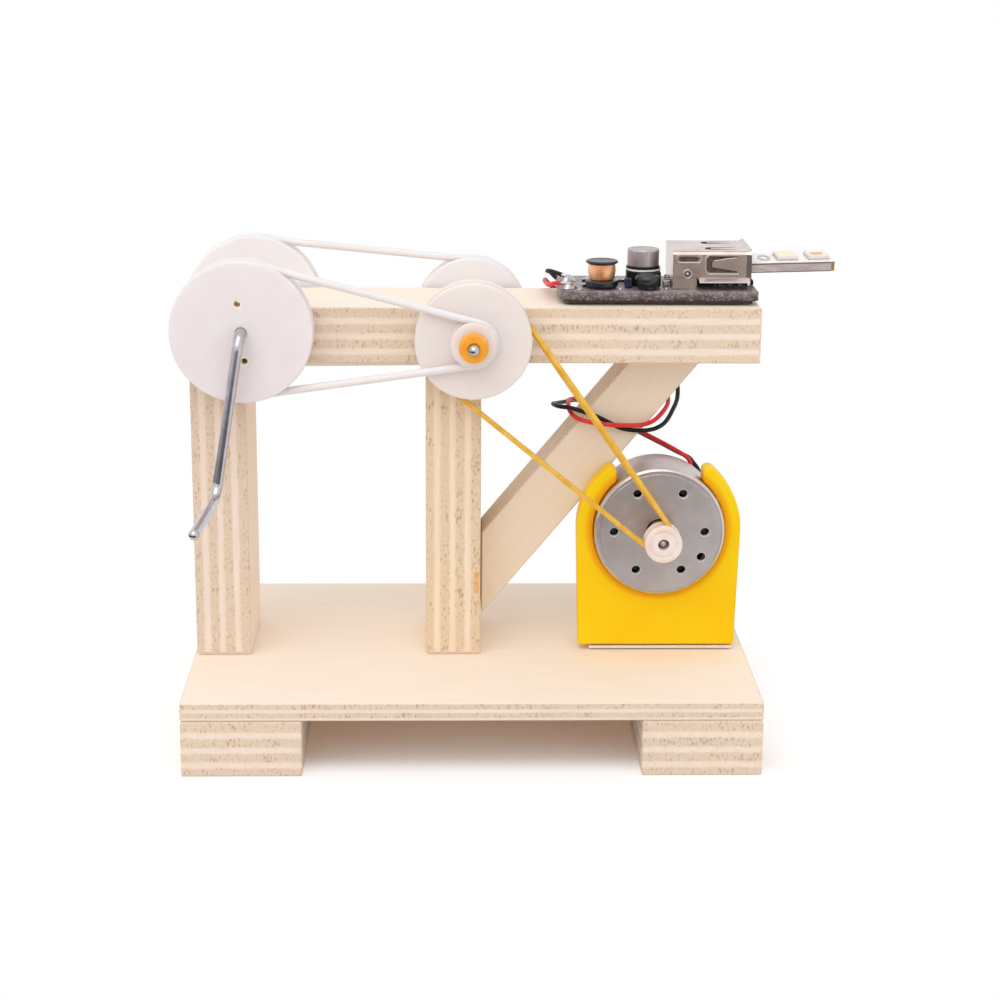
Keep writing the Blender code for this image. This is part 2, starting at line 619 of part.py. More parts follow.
def motor_bracket():
    """A moulded clip: a block whose round cradle and two curved arms hold the motor's can."""
    yellow = material("yellow plastic", (0.95, 0.55, 0.01), 0.4)
    inner = MOTOR_RADIUS + FIT_GAP
    outer = inner + BRACKET_ARM
    half, half_mouth = BRACKET_WIDTH / 2, BRACKET_MOUTH / 2
    shoulder = -math.acos(half / outer)
    tip_x = half_mouth + BRACKET_TIP
    tip_z = math.sqrt((outer - BRACKET_TIP) ** 2 - tip_x ** 2)
    tip_turn = math.atan2(tip_z, tip_x)
    mouth_turn = math.acos(half_mouth / inner)
    right_arm = arc((0, 0), outer, shoulder, tip_turn, 12)
    right_arm += arc((tip_x, tip_z), BRACKET_TIP, tip_turn, math.pi, 5)[1:]
    cradle = arc((0, 0), inner, mouth_turn, -math.pi - mouth_turn, 34)
    left_arm = [(-x, z) for x, z in reversed(right_arm)]
    outline = [(-half, -MOTOR_RISE), (half, -MOTOR_RISE)] + right_arm + cradle + left_arm
    made = extruded("motor_bracket", outline, BRACKET_FRONT, BRACKET_FRONT + BRACKET_DEPTH, yellow,
                    (MOTOR_X, 0, MOTOR_Z))
    bevel = made.modifiers.new("moulded edge", "BEVEL")
    bevel.width = BRACKET_EDGE
    bevel.segments = 1
    bevel.angle_limit = math.radians(60)
    foam = material("white foam tape", (0.86, 0.80, 0.76), 0.9)
    low_z = BASE_TOP + FIT_GAP
    block("bracket_tape", (MOTOR_X - half + TAPE_INSET, BRACKET_FRONT + FIT_GAP, low_z),
          (MOTOR_X + half - FIT_GAP, BRACKET_FRONT + BRACKET_DEPTH - FIT_GAP, low_z + BRACKET_TAPE), foam)


def motor_can(steel):
    """The drawn can: a recessed face with a bearing boss, a raised bright rim, and seven holes."""
    inner = MOTOR_RADIUS - CAN_WALL
    face = MOTOR_FRONT + FACE_RECESS
    boss_bore = BUSH_RADIUS + FIT_GAP
    back = MOTOR_FRONT + MOTOR_LENGTH
    can = turned("motor_can", [
        (boss_bore, face - BOSS_HEIGHT),
        (BOSS_RADIUS - RIM_EDGE, face - BOSS_HEIGHT),
        (BOSS_RADIUS, face - BOSS_HEIGHT + RIM_EDGE),
        (BOSS_RADIUS, face),
        (inner - RIM_EDGE, face),
        (inner, MOTOR_FRONT),
        (MOTOR_RADIUS - RIM_EDGE, MOTOR_FRONT),
        (MOTOR_RADIUS, MOTOR_FRONT + RIM_EDGE),
        (MOTOR_RADIUS, back - CAN_EDGE),
        (MOTOR_RADIUS - CAN_EDGE / 2, back),
        (inner - RIM_EDGE, back),
        (inner, back - RIM_EDGE),
        (inner, face + CAN_WALL),
        (boss_bore, face + CAN_WALL),
    ], steel, (MOTOR_X, 0, MOTOR_Z), segments=MOTOR_SEGMENTS)
    turns = [2 * math.pi * i / FACE_HOLE_COUNT for i in range(FACE_HOLE_COUNT)] + [LONE_HOLE_ANGLE]
    for turn in turns:
        at = (MOTOR_X + FACE_HOLE_CIRCLE * math.cos(turn), face, MOTOR_Z + FACE_HOLE_CIRCLE * math.sin(turn))
        drill(can, FACE_HOLE_RADIUS, at, -FIT_GAP, CAN_WALL + FIT_GAP)


def motor_end(steel, brass):
    """The plastic end cap with the rear bearing, the brushes inside it and the two terminals."""
    black = material("black plastic", (0.03, 0.03, 0.035), 0.5)
    inner = MOTOR_RADIUS - CAN_WALL - FIT_GAP
    back = MOTOR_FRONT + MOTOR_LENGTH
    front = back - CAP_THICK
    bush_hole = BUSH_RADIUS + FIT_GAP
    at = (MOTOR_X, 0, MOTOR_Z)
    turned("motor_end_cap", [
        (bush_hole, front),
        (inner, front),
        (inner, back - RIM_EDGE),
        (inner - RIM_EDGE, back),
        (BOSS_RADIUS, back),
        (BOSS_RADIUS, back + RIM_EDGE),
        (bush_hole, back + RIM_EDGE),
    ], black, at, segments=MOTOR_SEGMENTS)
    face = MOTOR_FRONT + FACE_RECESS
    for name, start, end in (("front_bush", face - BOSS_HEIGHT, face + CAN_WALL), ("rear_bush", front, back)):
        turned(name, [(SHAFT_BORE, start), (BUSH_RADIUS, start), (BUSH_RADIUS, end), (SHAFT_BORE, end)],
               brass, at, segments=SMALL_SEGMENTS)
    brush_x = COMMUTATOR_RADIUS + FIT_GAP
    for name, side in (("brush_left", -1), ("brush_right", 1)):
        ends = sorted((side * brush_x, side * (brush_x + BRUSH_THICK)))
        block(name, (MOTOR_X + ends[0], front - FIT_GAP - COMMUTATOR_LENGTH, MOTOR_Z - BRUSH_LENGTH / 2),
              (MOTOR_X + ends[1], front - FIT_GAP, MOTOR_Z + BRUSH_LENGTH / 2), brass)
    for name, turn in zip(("terminal_right", "terminal_left"), TERMINAL_ANGLES):
        x = MOTOR_X + TERMINAL_CIRCLE * math.cos(turn)
        z = MOTOR_Z + TERMINAL_CIRCLE * math.sin(turn)
        lug = block(name, (x - TERMINAL_WIDTH / 2, back + FIT_GAP, z - TERMINAL_THICK / 2),
                    (x + TERMINAL_WIDTH / 2, back + FIT_GAP + TERMINAL_LENGTH, z + TERMINAL_THICK / 2), steel)
        lug.rotation_euler = (0, math.pi / 2 - turn, 0)


def armature_outline():
    """Outline of the three-pole core, with round-backed shoes on straight necks."""
    shoe_inner = CORE_RADIUS - POLE_SHOE
    half_neck = POLE_NECK / 2
    hub_turn = math.asin(half_neck / CORE_HUB)
    neck_turn = math.asin(half_neck / shoe_inner)
    outline = []
    for pole in range(3):
        turn = math.pi / 2 + pole * 2 * math.pi / 3
        outline += arc((0, 0), shoe_inner, turn - neck_turn, turn - POLE_SPREAD, 4)
        outline += arc((0, 0), CORE_RADIUS, turn - POLE_SPREAD, turn + POLE_SPREAD, 10)
        outline += arc((0, 0), shoe_inner, turn + POLE_SPREAD, turn + neck_turn, 4)
        gap_end = turn + 2 * math.pi / 3 - hub_turn
        outline += arc((0, 0), CORE_HUB, turn + hub_turn, gap_end, 4)
    return outline


def rotor(steel, plastic, brass):
    """Everything that spins in the motor, with the pulley pressed on the shaft's front end."""
    at = (MOTOR_X, 0, MOTOR_Z)
    cap_front = MOTOR_FRONT + MOTOR_LENGTH - CAP_THICK
    magnet_front = MOTOR_FRONT + FACE_RECESS + CAN_WALL + FIT_GAP
    magnet_outer = MOTOR_RADIUS - CAN_WALL - FIT_GAP
    magnet = material("ferrite magnet", (0.05, 0.05, 0.05), 0.7)
    turned("magnet_ring", [
        (magnet_outer - MAGNET_THICK, magnet_front),
        (magnet_outer, magnet_front),
        (magnet_outer, magnet_front + MAGNET_LENGTH),
        (magnet_outer - MAGNET_THICK, magnet_front + MAGNET_LENGTH),
    ], magnet, at, segments=MOTOR_SEGMENTS)
    shaft_end = MOTOR_FRONT + MOTOR_LENGTH
    shaft_front = PULLEY_FRONT + SHAFT_RECESS
    turned("motor_shaft", [(0, shaft_front), (SHAFT_RADIUS, shaft_front), (SHAFT_RADIUS, shaft_end), (0, shaft_end)],
           steel, at, segments=HOLE_SEGMENTS)
    core_middle = magnet_front + MAGNET_LENGTH / 2 - FIT_GAP
    core = extruded("armature_core", armature_outline(), core_middle - CORE_THICK / 2,
                    core_middle + CORE_THICK / 2, steel, at)
    drill(core, SHAFT_BORE, (MOTOR_X, core_middle, MOTOR_Z), -CORE_THICK, CORE_THICK)
    copper = material("enamelled copper", (0.60, 0.22, 0.06), 0.35, 1.0)
    windings(copper, core_middle)
    turned("commutator", [
        (SHAFT_BORE, cap_front - FIT_GAP - COMMUTATOR_LENGTH),
        (COMMUTATOR_RADIUS, cap_front - FIT_GAP - COMMUTATOR_LENGTH),
        (COMMUTATOR_RADIUS, cap_front - FIT_GAP),
        (SHAFT_BORE, cap_front - FIT_GAP),
    ], brass, at, segments=SMALL_SEGMENTS)
    groove_front = PULLEY_FRONT + PULLEY_FLANGE
    groove_back = groove_front + PULLEY_GROOVE_WIDTH
    back = PULLEY_FRONT + PULLEY_LENGTH
    turned("motor_pulley", [
        (SHAFT_BORE, PULLEY_FRONT),
        (PULLEY_RADIUS - RIM_EDGE, PULLEY_FRONT),
        (PULLEY_RADIUS, PULLEY_FRONT + RIM_EDGE),
        (PULLEY_RADIUS, groove_front - RIM_EDGE),
        (PULLEY_GROOVE, groove_front),
        (PULLEY_GROOVE, groove_back),
        (PULLEY_RADIUS, groove_back + RIM_EDGE),
        (PULLEY_RADIUS, back - RIM_EDGE),
        (PULLEY_RADIUS - RIM_EDGE, back),
        (SHAFT_BORE, back),
    ], plastic, at, segments=28)


def windings(copper, core_middle):
    """A coil round the neck of each pole, drawn as one solid ring of wire."""
    inner_x = POLE_NECK / 2 + FIT_GAP
    inner_y = CORE_THICK / 2 + FIT_GAP
    outer_x, outer_y = inner_x + WINDING_THICK, inner_y + WINDING_THICK
    start = CORE_HUB + WINDING_THICK
    end = CORE_RADIUS - POLE_SHOE - FIT_GAP * 2
    for pole in range(3):
        coil = extruded(f"armature_winding_{pole + 1}", rounded_rectangle(
            (-outer_x, -outer_y), (outer_x, outer_y), WINDING_THICK), start, end, copper,
            (MOTOR_X, core_middle, MOTOR_Z), axis="Z")
        hole = extruded(f"winding hole {pole + 1}", [
            (-inner_x, -inner_y), (inner_x, -inner_y), (inner_x, inner_y), (-inner_x, inner_y),
        ], start - FIT_GAP, end + FIT_GAP, copper, (MOTOR_X, core_middle, MOTOR_Z), axis="Z")
        for piece in (coil, hole):
            piece.rotation_euler = (0, -pole * 2 * math.pi / 3, 0)
        combine(coil, hole)


def on_board(place_on_board):
    """A point of the board's top in the base's frame, from its left end and front edge."""
    return BOARD_LEFT + place_on_board[0], BOARD_FRONT + place_on_board[1], BOARD_TOP + SEAT_GAP


def voltage_board(steel):
    """The board on its foam tape, with a routed left end."""
    grey = material("circuit board", (0.30, 0.28, 0.28), 0.4)
    foam = material("grey foam tape", (0.62, 0.57, 0.52), 0.9)
    outline = rounded_rectangle((BOARD_LEFT, BOARD_FRONT), (BOARD_RIGHT, BOARD_FRONT + BOARD_DEPTH), BOARD_CORNER)
    square_end = [(x, y) for x, y in outline if x < BOARD_RIGHT - BOARD_LENGTH / 2]
    outline = [(BOARD_RIGHT, BOARD_FRONT), (BOARD_RIGHT, BOARD_FRONT + BOARD_DEPTH)] + square_end
    extruded("circuit_board", outline, BOARD_BOTTOM, BOARD_TOP, grey, axis="Z")
    block("board_tape", (BOARD_LEFT + BOARD_TAPE_INSET, BOARD_FRONT + BOARD_TAPE_INSET, BEAM_TOP + FIT_GAP),
          (BOARD_RIGHT - BOARD_TAPE_INSET, BOARD_FRONT + BOARD_DEPTH - BOARD_TAPE_INSET,
           BEAM_TOP + FIT_GAP + BOARD_TAPE), foam)
    for name, spot in (("solder_joint_red", SOLDER_RED_AT), ("solder_joint_black", SOLDER_BLACK_AT)):
        dome = [(SOLDER_RADIUS * math.cos(turn), SOLDER_HEIGHT * math.sin(turn))
                for turn in (0, 0.45, 0.9, 1.25)]
        turned(name, [(0, 0)] + dome + [(0, SOLDER_HEIGHT)], steel, on_board(spot), (0, 0, 1), HOLE_SEGMENTS)


def board_parts():
    """The drum inductor, capacitor, small choke, diode, resistor and chip, all soldered down."""
    ferrite = material("black ferrite", (0.02, 0.02, 0.024), 0.45)
    copper = material("copper winding", (0.62, 0.22, 0.06), 0.3, 1.0)
    aluminium = material("aluminium can", (0.55, 0.53, 0.53), 0.35, 1.0)
    blue = material("dark blue lacquer", (0.02, 0.03, 0.08), 0.4)
    up = (0, 0, 1)
    shelf = INDUCTOR_HEIGHT - INDUCTOR_FLANGE
    turned("inductor_core", [
        (0, 0), (INDUCTOR_RADIUS, 0), (INDUCTOR_RADIUS, INDUCTOR_FLANGE), (INDUCTOR_WAIST, INDUCTOR_FLANGE),
        (INDUCTOR_WAIST, shelf), (INDUCTOR_RADIUS, shelf), (INDUCTOR_RADIUS, INDUCTOR_HEIGHT),
        (0, INDUCTOR_HEIGHT),
    ], ferrite, on_board(INDUCTOR_AT), up, 24)
    inner = INDUCTOR_WAIST + SEAT_GAP
    low, high = INDUCTOR_FLANGE + SEAT_GAP, shelf - SEAT_GAP
    turned("inductor_winding", [
        (inner, low), (WINDING_RADIUS - RIM_EDGE, low), (WINDING_RADIUS, (2 * low + high) / 3),
        (WINDING_RADIUS, (low + 2 * high) / 3), (WINDING_RADIUS - RIM_EDGE, high), (inner, high),
    ], copper, on_board(INDUCTOR_AT), up, 24)
    cap_x, cap_y, cap_z = on_board(CAPACITOR_AT)
    half = CAPACITOR_BASE_SIDE / 2
    chamfer = half / 2
    extruded("capacitor_base", [
        (-half + chamfer, -half), (half, -half), (half, half), (-half + chamfer, half),
        (-half, half - chamfer), (-half, -half + chamfer),
    ], 0, CAPACITOR_BASE_HEIGHT, ferrite, (cap_x, cap_y, cap_z), "Z")
    radius, top = CAPACITOR_RADIUS, CAPACITOR_HEIGHT
    turned("capacitor_can", [
        (0, 0), (radius, 0), (radius, 2 * CAPACITOR_BEAD), (radius - CAPACITOR_BEAD, 3 * CAPACITOR_BEAD),
        (radius - CAPACITOR_BEAD, 4 * CAPACITOR_BEAD), (radius, 5 * CAPACITOR_BEAD),
        (radius, top - CAPACITOR_BEAD), (radius - CAPACITOR_BEAD, top), (0, top),
    ], aluminium, (cap_x, cap_y, cap_z + CAPACITOR_BASE_HEIGHT + SEAT_GAP), up, 24)
    choke = CHOKE_HEIGHT
    turned("small_inductor", [
        (0, 0), (CHOKE_RADIUS * 0.72, 0), (CHOKE_RADIUS, choke * 0.55), (CHOKE_RADIUS, choke * 0.8),
        (CHOKE_RADIUS * 0.85, choke), (0, choke),
    ], ferrite, on_board(CHOKE_AT), up, SMALL_SEGMENTS)
    for name, spot, size, finish in (("diode", DIODE_AT, DIODE_SIZE, blue),
                                     ("resistor", RESISTOR_AT, RESISTOR_SIZE, aluminium)):
        x, y, z = on_board(spot)
        block(name, (x, y, z), (x + size[0], y + size[1], z + size[2]), finish, edge=SEAT_GAP)
    boost_chip(ferrite)


def boost_chip(finish):
    """The flat chip under the socket's mouth, with four gull-wing leads on each long side."""
    x, y, z = on_board(CHIP_AT)
    length, depth, height = CHIP_SIZE
    chip = block("boost_chip", (x, y, z), (x + length, y + depth, z + height), finish)
    pitch = length / 4
    for number in range(4):
        lead_x = x + pitch * (number + 0.5)
        lead = block(f"chip lead {number}", (lead_x - CHIP_LEAD / 2, y - CHIP_LEAD, z),
                     (lead_x + CHIP_LEAD / 2, y + depth + CHIP_LEAD, z + height / 2), finish)
        combine(chip, lead, "UNION")


def socket_ring(x, grow):
    """Cross-section of the socket's tunnel at one X from its back, grown or shrunk all round."""
    half = SOCKET_WIDTH / 2
    corner = max(SOCKET_CORNER + grow, SEAT_GAP)
    outline = rounded_rectangle((-half - grow, -grow), (half + grow, SOCKET_HEIGHT + grow), corner, 2)
    return [(x, y, z) for y, z in outline]


def usb_shell():
    """The socket's folded sheet shell: a tunnel with a flared mouth, a skirt at its back that stands
    on the board, and slots with spring leaves in its sides and top."""
    nickel = material("nickel plate", (0.55, 0.52, 0.50), 0.3, 1.0)
    at = (SOCKET_BACK_X, SOCKET_Y, SOCKET_BOTTOM)
    neck = SOCKET_LENGTH - FLARE_LENGTH
    rings = [
        socket_ring(0, 0), socket_ring(neck, 0), socket_ring(SOCKET_LENGTH, FLARE),
        socket_ring(SOCKET_LENGTH, FLARE - SHEET), socket_ring(neck, -SHEET), socket_ring(SHEET, -SHEET),
    ]
    bm = bmesh.new()
    loops = [[bm.verts.new(point) for point in ring] for ring in rings]
    bm.faces.new(loops[0])
    bm.faces.new(loops[-1])
    for near, far in zip(loops, loops[1:]):
        for i in range(len(near)):
            j = (i + 1) % len(near)
            bm.faces.new((near[i], near[j], far[j], far[i]))
    shell = place("usb_shell", mesh_from(bm, "usb_shell"), nickel, at)
    outer = SOCKET_WIDTH / 2 - SKIRT_INSET
    inner = SOCKET_WIDTH / 2 - SHEET + SKIRT_INSET
    back, front = SKIRT_INSET, SHEET - SKIRT_INSET
    skirt = extruded("socket skirt", [
        (back, -outer), (SKIRT_LENGTH, -outer), (SKIRT_LENGTH, -inner), (front, -inner),
        (front, inner), (SKIRT_LENGTH, inner), (SKIRT_LENGTH, outer), (back, outer),
    ], SEAT_GAP - SOCKET_RISE, SOCKET_HEIGHT / 2, nickel, at, "Z")
    combine(shell, skirt, "UNION")
    for cutter in socket_cutters(nickel, at):
        combine(shell, cutter)


def leaf_slot(start, middle, length, width, slot):
    """A U-shaped slot that leaves a spring leaf joined at the far end, as a flat outline."""
    half = width / 2
    tip = half - slot
    back = 2 * slot
    root = half - slot / 2
    outline = [
        (length, half), (length, root), (back, tip / 2), (back, -tip / 2), (length, -root),
        (length, -half), (slot, -half), (0, -half + slot), (0, half - slot), (slot, half),
    ]
    return [(start + x, middle + y) for x, y in outline]


def socket_cutters(nickel, at):
    """The cuts in both sides and in the top: a long slot, a round hole and the slots round the leaves."""
    reach = SOCKET_WIDTH / 2 + FLARE + FIT_GAP
    x, z = SIDE_SLOT_AT
    length, height = SIDE_SLOT_SIZE
    end = height / 2
    slot = [
        (x, z + end), (x + end, z), (x + length - end, z), (x + length, z + end),
        (x + length - end, z + height), (x + end, z + height),
    ]
    hole = arc(SIDE_HOLE_AT, SIDE_HOLE_RADIUS, DRILL_SEAM, DRILL_SEAM + 2 * math.pi, HOLE_SEGMENTS)[:-1]
    side_leaf = leaf_slot(LEAF_START, SIDE_LEAF_RISE, LEAF_LENGTH, SIDE_LEAF_WIDTH, LEAF_SLOT)
    cutters = [
        extruded(name, outline, -reach, reach, nickel, at, "Y")
        for name, outline in (("side slot", slot), ("side hole", hole), ("side leaf slot", side_leaf))
    ]
    for number, middle in enumerate((-SOCKET_WIDTH / 4, SOCKET_WIDTH / 4)):
        outline = leaf_slot(LEAF_START, middle, LEAF_LENGTH, TOP_LEAF_WIDTH, LEAF_SLOT)
        cutters.append(extruded(f"top leaf slot {number}", outline, SOCKET_HEIGHT - 2 * SHEET,
                                SOCKET_HEIGHT + SHEET, nickel, at, "Z"))
    return cutters


def usb_tongue():
    """The socket's insulator: a block that fills its back and a tongue that the stick slides under."""
    white = material("white plastic", (0.80, 0.79, 0.77), 0.5)
    front_x = SOCKET_BACK_X + SHEET + FIT_GAP
    block_x = front_x + SOCKET_BLOCK
    end_x = SOCKET_MOUTH_X - TONGUE_SHORT
    low = SOCKET_BOTTOM + SHEET + FIT_GAP
    half = TONGUE_WIDTH / 2
    extruded("usb_tongue", [
        (front_x, low), (block_x, low), (block_x, TONGUE_BOTTOM), (end_x - RIM_EDGE, TONGUE_BOTTOM),
        (end_x, TONGUE_BOTTOM + RIM_EDGE), (end_x, TONGUE_TOP), (front_x, TONGUE_TOP),
    ], -half, half, white, (0, SOCKET_Y, 0))


def light_stick():
    """The stick plugged into the socket: a thick board with two square lights on its top."""
    white = material("white lacquer", (0.80, 0.78, 0.76), 0.35)
    amber = material("amber light", (0.88, 0.70, 0.42), 0.4)
    half = STICK_WIDTH / 2
    outline = rounded_rectangle((STICK_START_X, -half), (STICK_END_X, half), STICK_CORNER, 2)
    extruded("led_stick_board", outline, STICK_BOTTOM, STICK_TOP, white, (0, SOCKET_Y, 0), "Z")
    length, width, height = LIGHT_SIZE
    for number, from_end in enumerate(LIGHT_PLACES):
        x = STICK_END_X - from_end - length
        block(f"led_chip_{number + 1}", (x, SOCKET_Y - width / 2, STICK_TOP + SEAT_GAP),
              (x + length, SOCKET_Y + width / 2, STICK_TOP + SEAT_GAP + height), amber, edge=SEAT_GAP)


def smooth_route(points, per_span):
    """Points along a smooth line through the route's own points, by Catmull-Rom interpolation."""
    route = [Vector(point) for point in points]
    route = [2 * route[0] - route[1]] + route + [2 * route[-1] - route[-2]]
    line = []
    for a, b, c, d in zip(route, route[1:], route[2:], route[3:]):
        for i in range(per_span):
            t = i / per_span
            line.append(0.5 * (2 * b + (c - a) * t + (2 * a - 5 * b + 4 * c - d) * t ** 2
                               + (3 * b - a - 3 * c + d) * t ** 3))
    line.append(route[-2])
    return line


def joined(stretches):
    """One list of points from stretches that each start from their own place."""
    return [Vector(start) + Vector(step) for start, steps in stretches for step in steps]


def wires():
    """The red and black wires: from the motor's terminals once round the brace and up behind the
    beam to the board. Each stretch of a route is given from the piece that it lies against."""
    motor = (MOTOR_X, MOTOR_BACK, MOTOR_Z)
    brace_head = (BRACE_HEAD_X, BRACE_FRONT, BRACE_HEAD_Z)
    board = (BOARD_LEFT, BOARD_FRONT, BOARD_TOP)
    red = [
        (motor, [
            (0.00610, 0.00100, 0.00730),
            (0.00670, 0.00100, 0.00860),
            (0.00690, 0.00120, 0.00980),
            (0.00630, 0.00150, 0.01100),
            (0.00450, 0.00220, 0.01210),
            (0.00130, 0.00370, 0.01360),
            (-0.00230, 0.00560, 0.01510),
        ]),
        (brace_head, [
            (-0.01455, 0.01180, -0.01490),
            (-0.01885, 0.01180, -0.01250),
            (-0.02215, 0.01220, -0.01080),
            (-0.02445, 0.00900, -0.01010),
            (-0.02495, 0.00400, -0.00960),
            (-0.02505, 0.00100, -0.01000),
            (-0.02425, -0.00080, -0.01100),
            (-0.02255, -0.00180, -0.01170),
            (-0.01925, -0.00240, -0.01220),
            (-0.01565, -0.00230, -0.01250),
            (-0.01155, -0.00190, -0.01250),
            (-0.00915, -0.00110, -0.01180),
            (-0.00715, 0.00160, -0.01060),
            (-0.00605, 0.00500, -0.00990),
            (-0.00575, 0.00850, -0.00930),
            (-0.00565, 0.01180, -0.00810),
            (-0.00625, 0.01420, -0.00490),
            (-0.00785, 0.01560, -0.00100),
            (-0.01155, 0.01590, 0.00280),
        ]),
        (board, [
            (0.00900, 0.02090, -0.00680),
            (0.00300, 0.02080, -0.00450),
            (-0.00040, 0.02060, -0.00270),
            (-0.00170, 0.01950, -0.00120),
            (-0.00200, 0.01650, -0.00090),
            (-0.00180, 0.01250, -0.00070),
            (-0.00160, 0.00850, -0.00030),
            (-0.00090, 0.00540, 0.00050),
            (0.00050, 0.00340, 0.00100),
        ]),
    ]
    black = [
        (motor, [
            (0.00850, 0.00110, 0.00510),
            (0.00890, 0.00150, 0.00670),
            (0.00850, 0.00220, 0.00850),
            (0.00760, 0.00270, 0.00970),
            (0.00670, 0.00300, 0.01070),
            (0.00480, 0.00370, 0.01150),
            (0.00160, 0.00530, 0.01290),
        ]),
        (brace_head, [
            (-0.01015, 0.01250, -0.01760),
            (-0.01425, 0.01340, -0.01560),
            (-0.01865, 0.01330, -0.01300),
            (-0.02245, 0.01370, -0.01130),
            (-0.02525, 0.01140, -0.01110),
            (-0.02705, 0.00750, -0.01050),
            (-0.02785, 0.00380, -0.00980),
            (-0.02695, 0.00040, -0.00950),
            (-0.02495, -0.00130, -0.00940),
            (-0.02285, -0.00140, -0.01000),
            (-0.02015, -0.00110, -0.01100),
            (-0.01755, -0.00100, -0.01230),
            (-0.01515, -0.00100, -0.01340),
            (-0.01225, -0.00100, -0.01380),
            (-0.00995, -0.00090, -0.01370),
            (-0.00815, 0.00020, -0.01340),
            (-0.00655, 0.00220, -0.01270),
            (-0.00505, 0.00550, -0.01130),
            (-0.00385, 0.00920, -0.00980),
            (-0.00365, 0.01240, -0.00740),
            (-0.00465, 0.01500, -0.00360),
            (-0.00615, 0.01610, 0.00030),
            (-0.00985, 0.01610, 0.00430),
        ]),
        (board, [
            (0.01020, 0.02110, -0.00520),
            (0.00420, 0.02100, -0.00310),
            (0.00080, 0.02050, -0.00130),
            (-0.00100, 0.01820, 0.00060),
            (-0.00160, 0.01530, 0.00120),
            (-0.00100, 0.01320, 0.00150),
            (0.00100, 0.01150, 0.00110),
        ]),
    ]
    rod("wire_red", smooth_route(joined(red), 2), WIRE_RADIUS, material("red wire", (0.62, 0.03, 0.03), 0.4))
    rod("wire_black", smooth_route(joined(black), 2), WIRE_RADIUS,
        material("black wire", (0.012, 0.012, 0.014), 0.4))


def build():
    clear_scene()
    steel = material("bright steel", (0.60, 0.60, 0.62), 0.2, 1.0)
    zinc = material("motor steel", (0.42, 0.41, 0.43), 0.35, 1.0)
    brass = material("brass", (0.70, 0.45, 0.16), 0.35, 1.0)
    frosted = material("frosted plastic", (0.86, 0.80, 0.78), 0.45)
    ivory = material("ivory plastic", (0.85, 0.72, 0.66), 0.45)
    orange = material("orange plastic", (0.90, 0.30, 0.02), 0.4)
    plywood()
    large_wheel("crank_wheel_front", CRANK_WHEEL_FRONT, frosted)
    large_wheel("crank_wheel_back", REAR_WHEEL_FRONT, frosted)
    crank_rod(steel)
    middle_wheels(frosted)
    middle_axle(steel, orange)
    belts()
    motor_bracket()
    motor_can(zinc)
    motor_end(steel, brass)
    rotor(steel, ivory, brass)
    voltage_board(steel)
    board_parts()
    usb_shell()
    usb_tongue()
    light_stick()
    wires()


build()
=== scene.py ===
# %% [markdown]
# # A hand crank generator, dressed for its portrait
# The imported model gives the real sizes, the joints and every solid. This lesson puts a finer surface
# and a real finish on each piece: plywood, frosted plastic, rubber, steel, a small motor and a circuit
# board. Sizes are written in millimetres from the middle of the wooden base, and one function turns
# them into the metres that Blender works in.

# %% Load the frame
import math

import bmesh
import bpy
import numpy as np
from mathutils import Matrix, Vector
from mathutils.geometry import tessellate_polygon


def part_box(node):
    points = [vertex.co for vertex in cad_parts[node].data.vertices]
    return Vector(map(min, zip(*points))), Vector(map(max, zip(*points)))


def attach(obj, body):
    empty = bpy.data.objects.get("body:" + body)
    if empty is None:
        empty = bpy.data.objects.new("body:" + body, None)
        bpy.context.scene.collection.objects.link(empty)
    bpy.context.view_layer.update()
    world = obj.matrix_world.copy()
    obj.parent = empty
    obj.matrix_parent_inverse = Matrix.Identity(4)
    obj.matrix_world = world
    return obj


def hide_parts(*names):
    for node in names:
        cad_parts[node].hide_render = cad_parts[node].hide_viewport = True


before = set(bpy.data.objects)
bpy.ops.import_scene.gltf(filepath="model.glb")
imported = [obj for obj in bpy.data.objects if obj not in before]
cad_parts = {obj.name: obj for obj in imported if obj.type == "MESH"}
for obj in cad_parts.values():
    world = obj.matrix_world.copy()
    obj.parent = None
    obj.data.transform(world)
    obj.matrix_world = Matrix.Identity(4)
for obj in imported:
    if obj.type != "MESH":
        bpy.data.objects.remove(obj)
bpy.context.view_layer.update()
base_low, base_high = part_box("base_plate")
BASE_MIDDLE = np.array([(base_low.x + base_high.x) / 2, (base_low.y + base_high.y) / 2, 0.0])
print(len(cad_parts), "nodes; the middle of the base is at", BASE_MIDDLE.round(6))


# %% Millimetres to metres
def metres(points):
    """World points in metres = points in millimetres from the base's middle / 1000 + its place."""
    return np.asarray(points, float) / 1000 + BASE_MIDDLE


# %% [markdown]
# ## The camera
# The photograph was taken with a long lens, a little above the object and almost square to it. Its
# place was worked out from the corners of the wood and the rims of the wheels. A camera could also
# be placed by eye, but then every edge would land a few pixels off.

# %% Camera
CAMERA_AT = (-5.11, -414.02, 153.77)
CAMERA_LENS = 81.37        # millimetres, on a 36 mm sensor
CAMERA_DOWN = math.radians(15.168)
CAMERA_TURN = math.radians(1.551)
CAMERA_ROLL = math.radians(-0.415)
CAMERA_SHIFT = -0.0029

forward = np.array([math.sin(CAMERA_TURN) * math.cos(CAMERA_DOWN),
                    math.cos(CAMERA_TURN) * math.cos(CAMERA_DOWN), -math.sin(CAMERA_DOWN)])
level_right = np.array([math.cos(CAMERA_TURN), -math.sin(CAMERA_TURN), 0.0])
level_up = np.cross(level_right, forward)
right = math.cos(CAMERA_ROLL) * level_right - math.sin(CAMERA_ROLL) * level_up
up = math.cos(CAMERA_ROLL) * level_up + math.sin(CAMERA_ROLL) * level_right

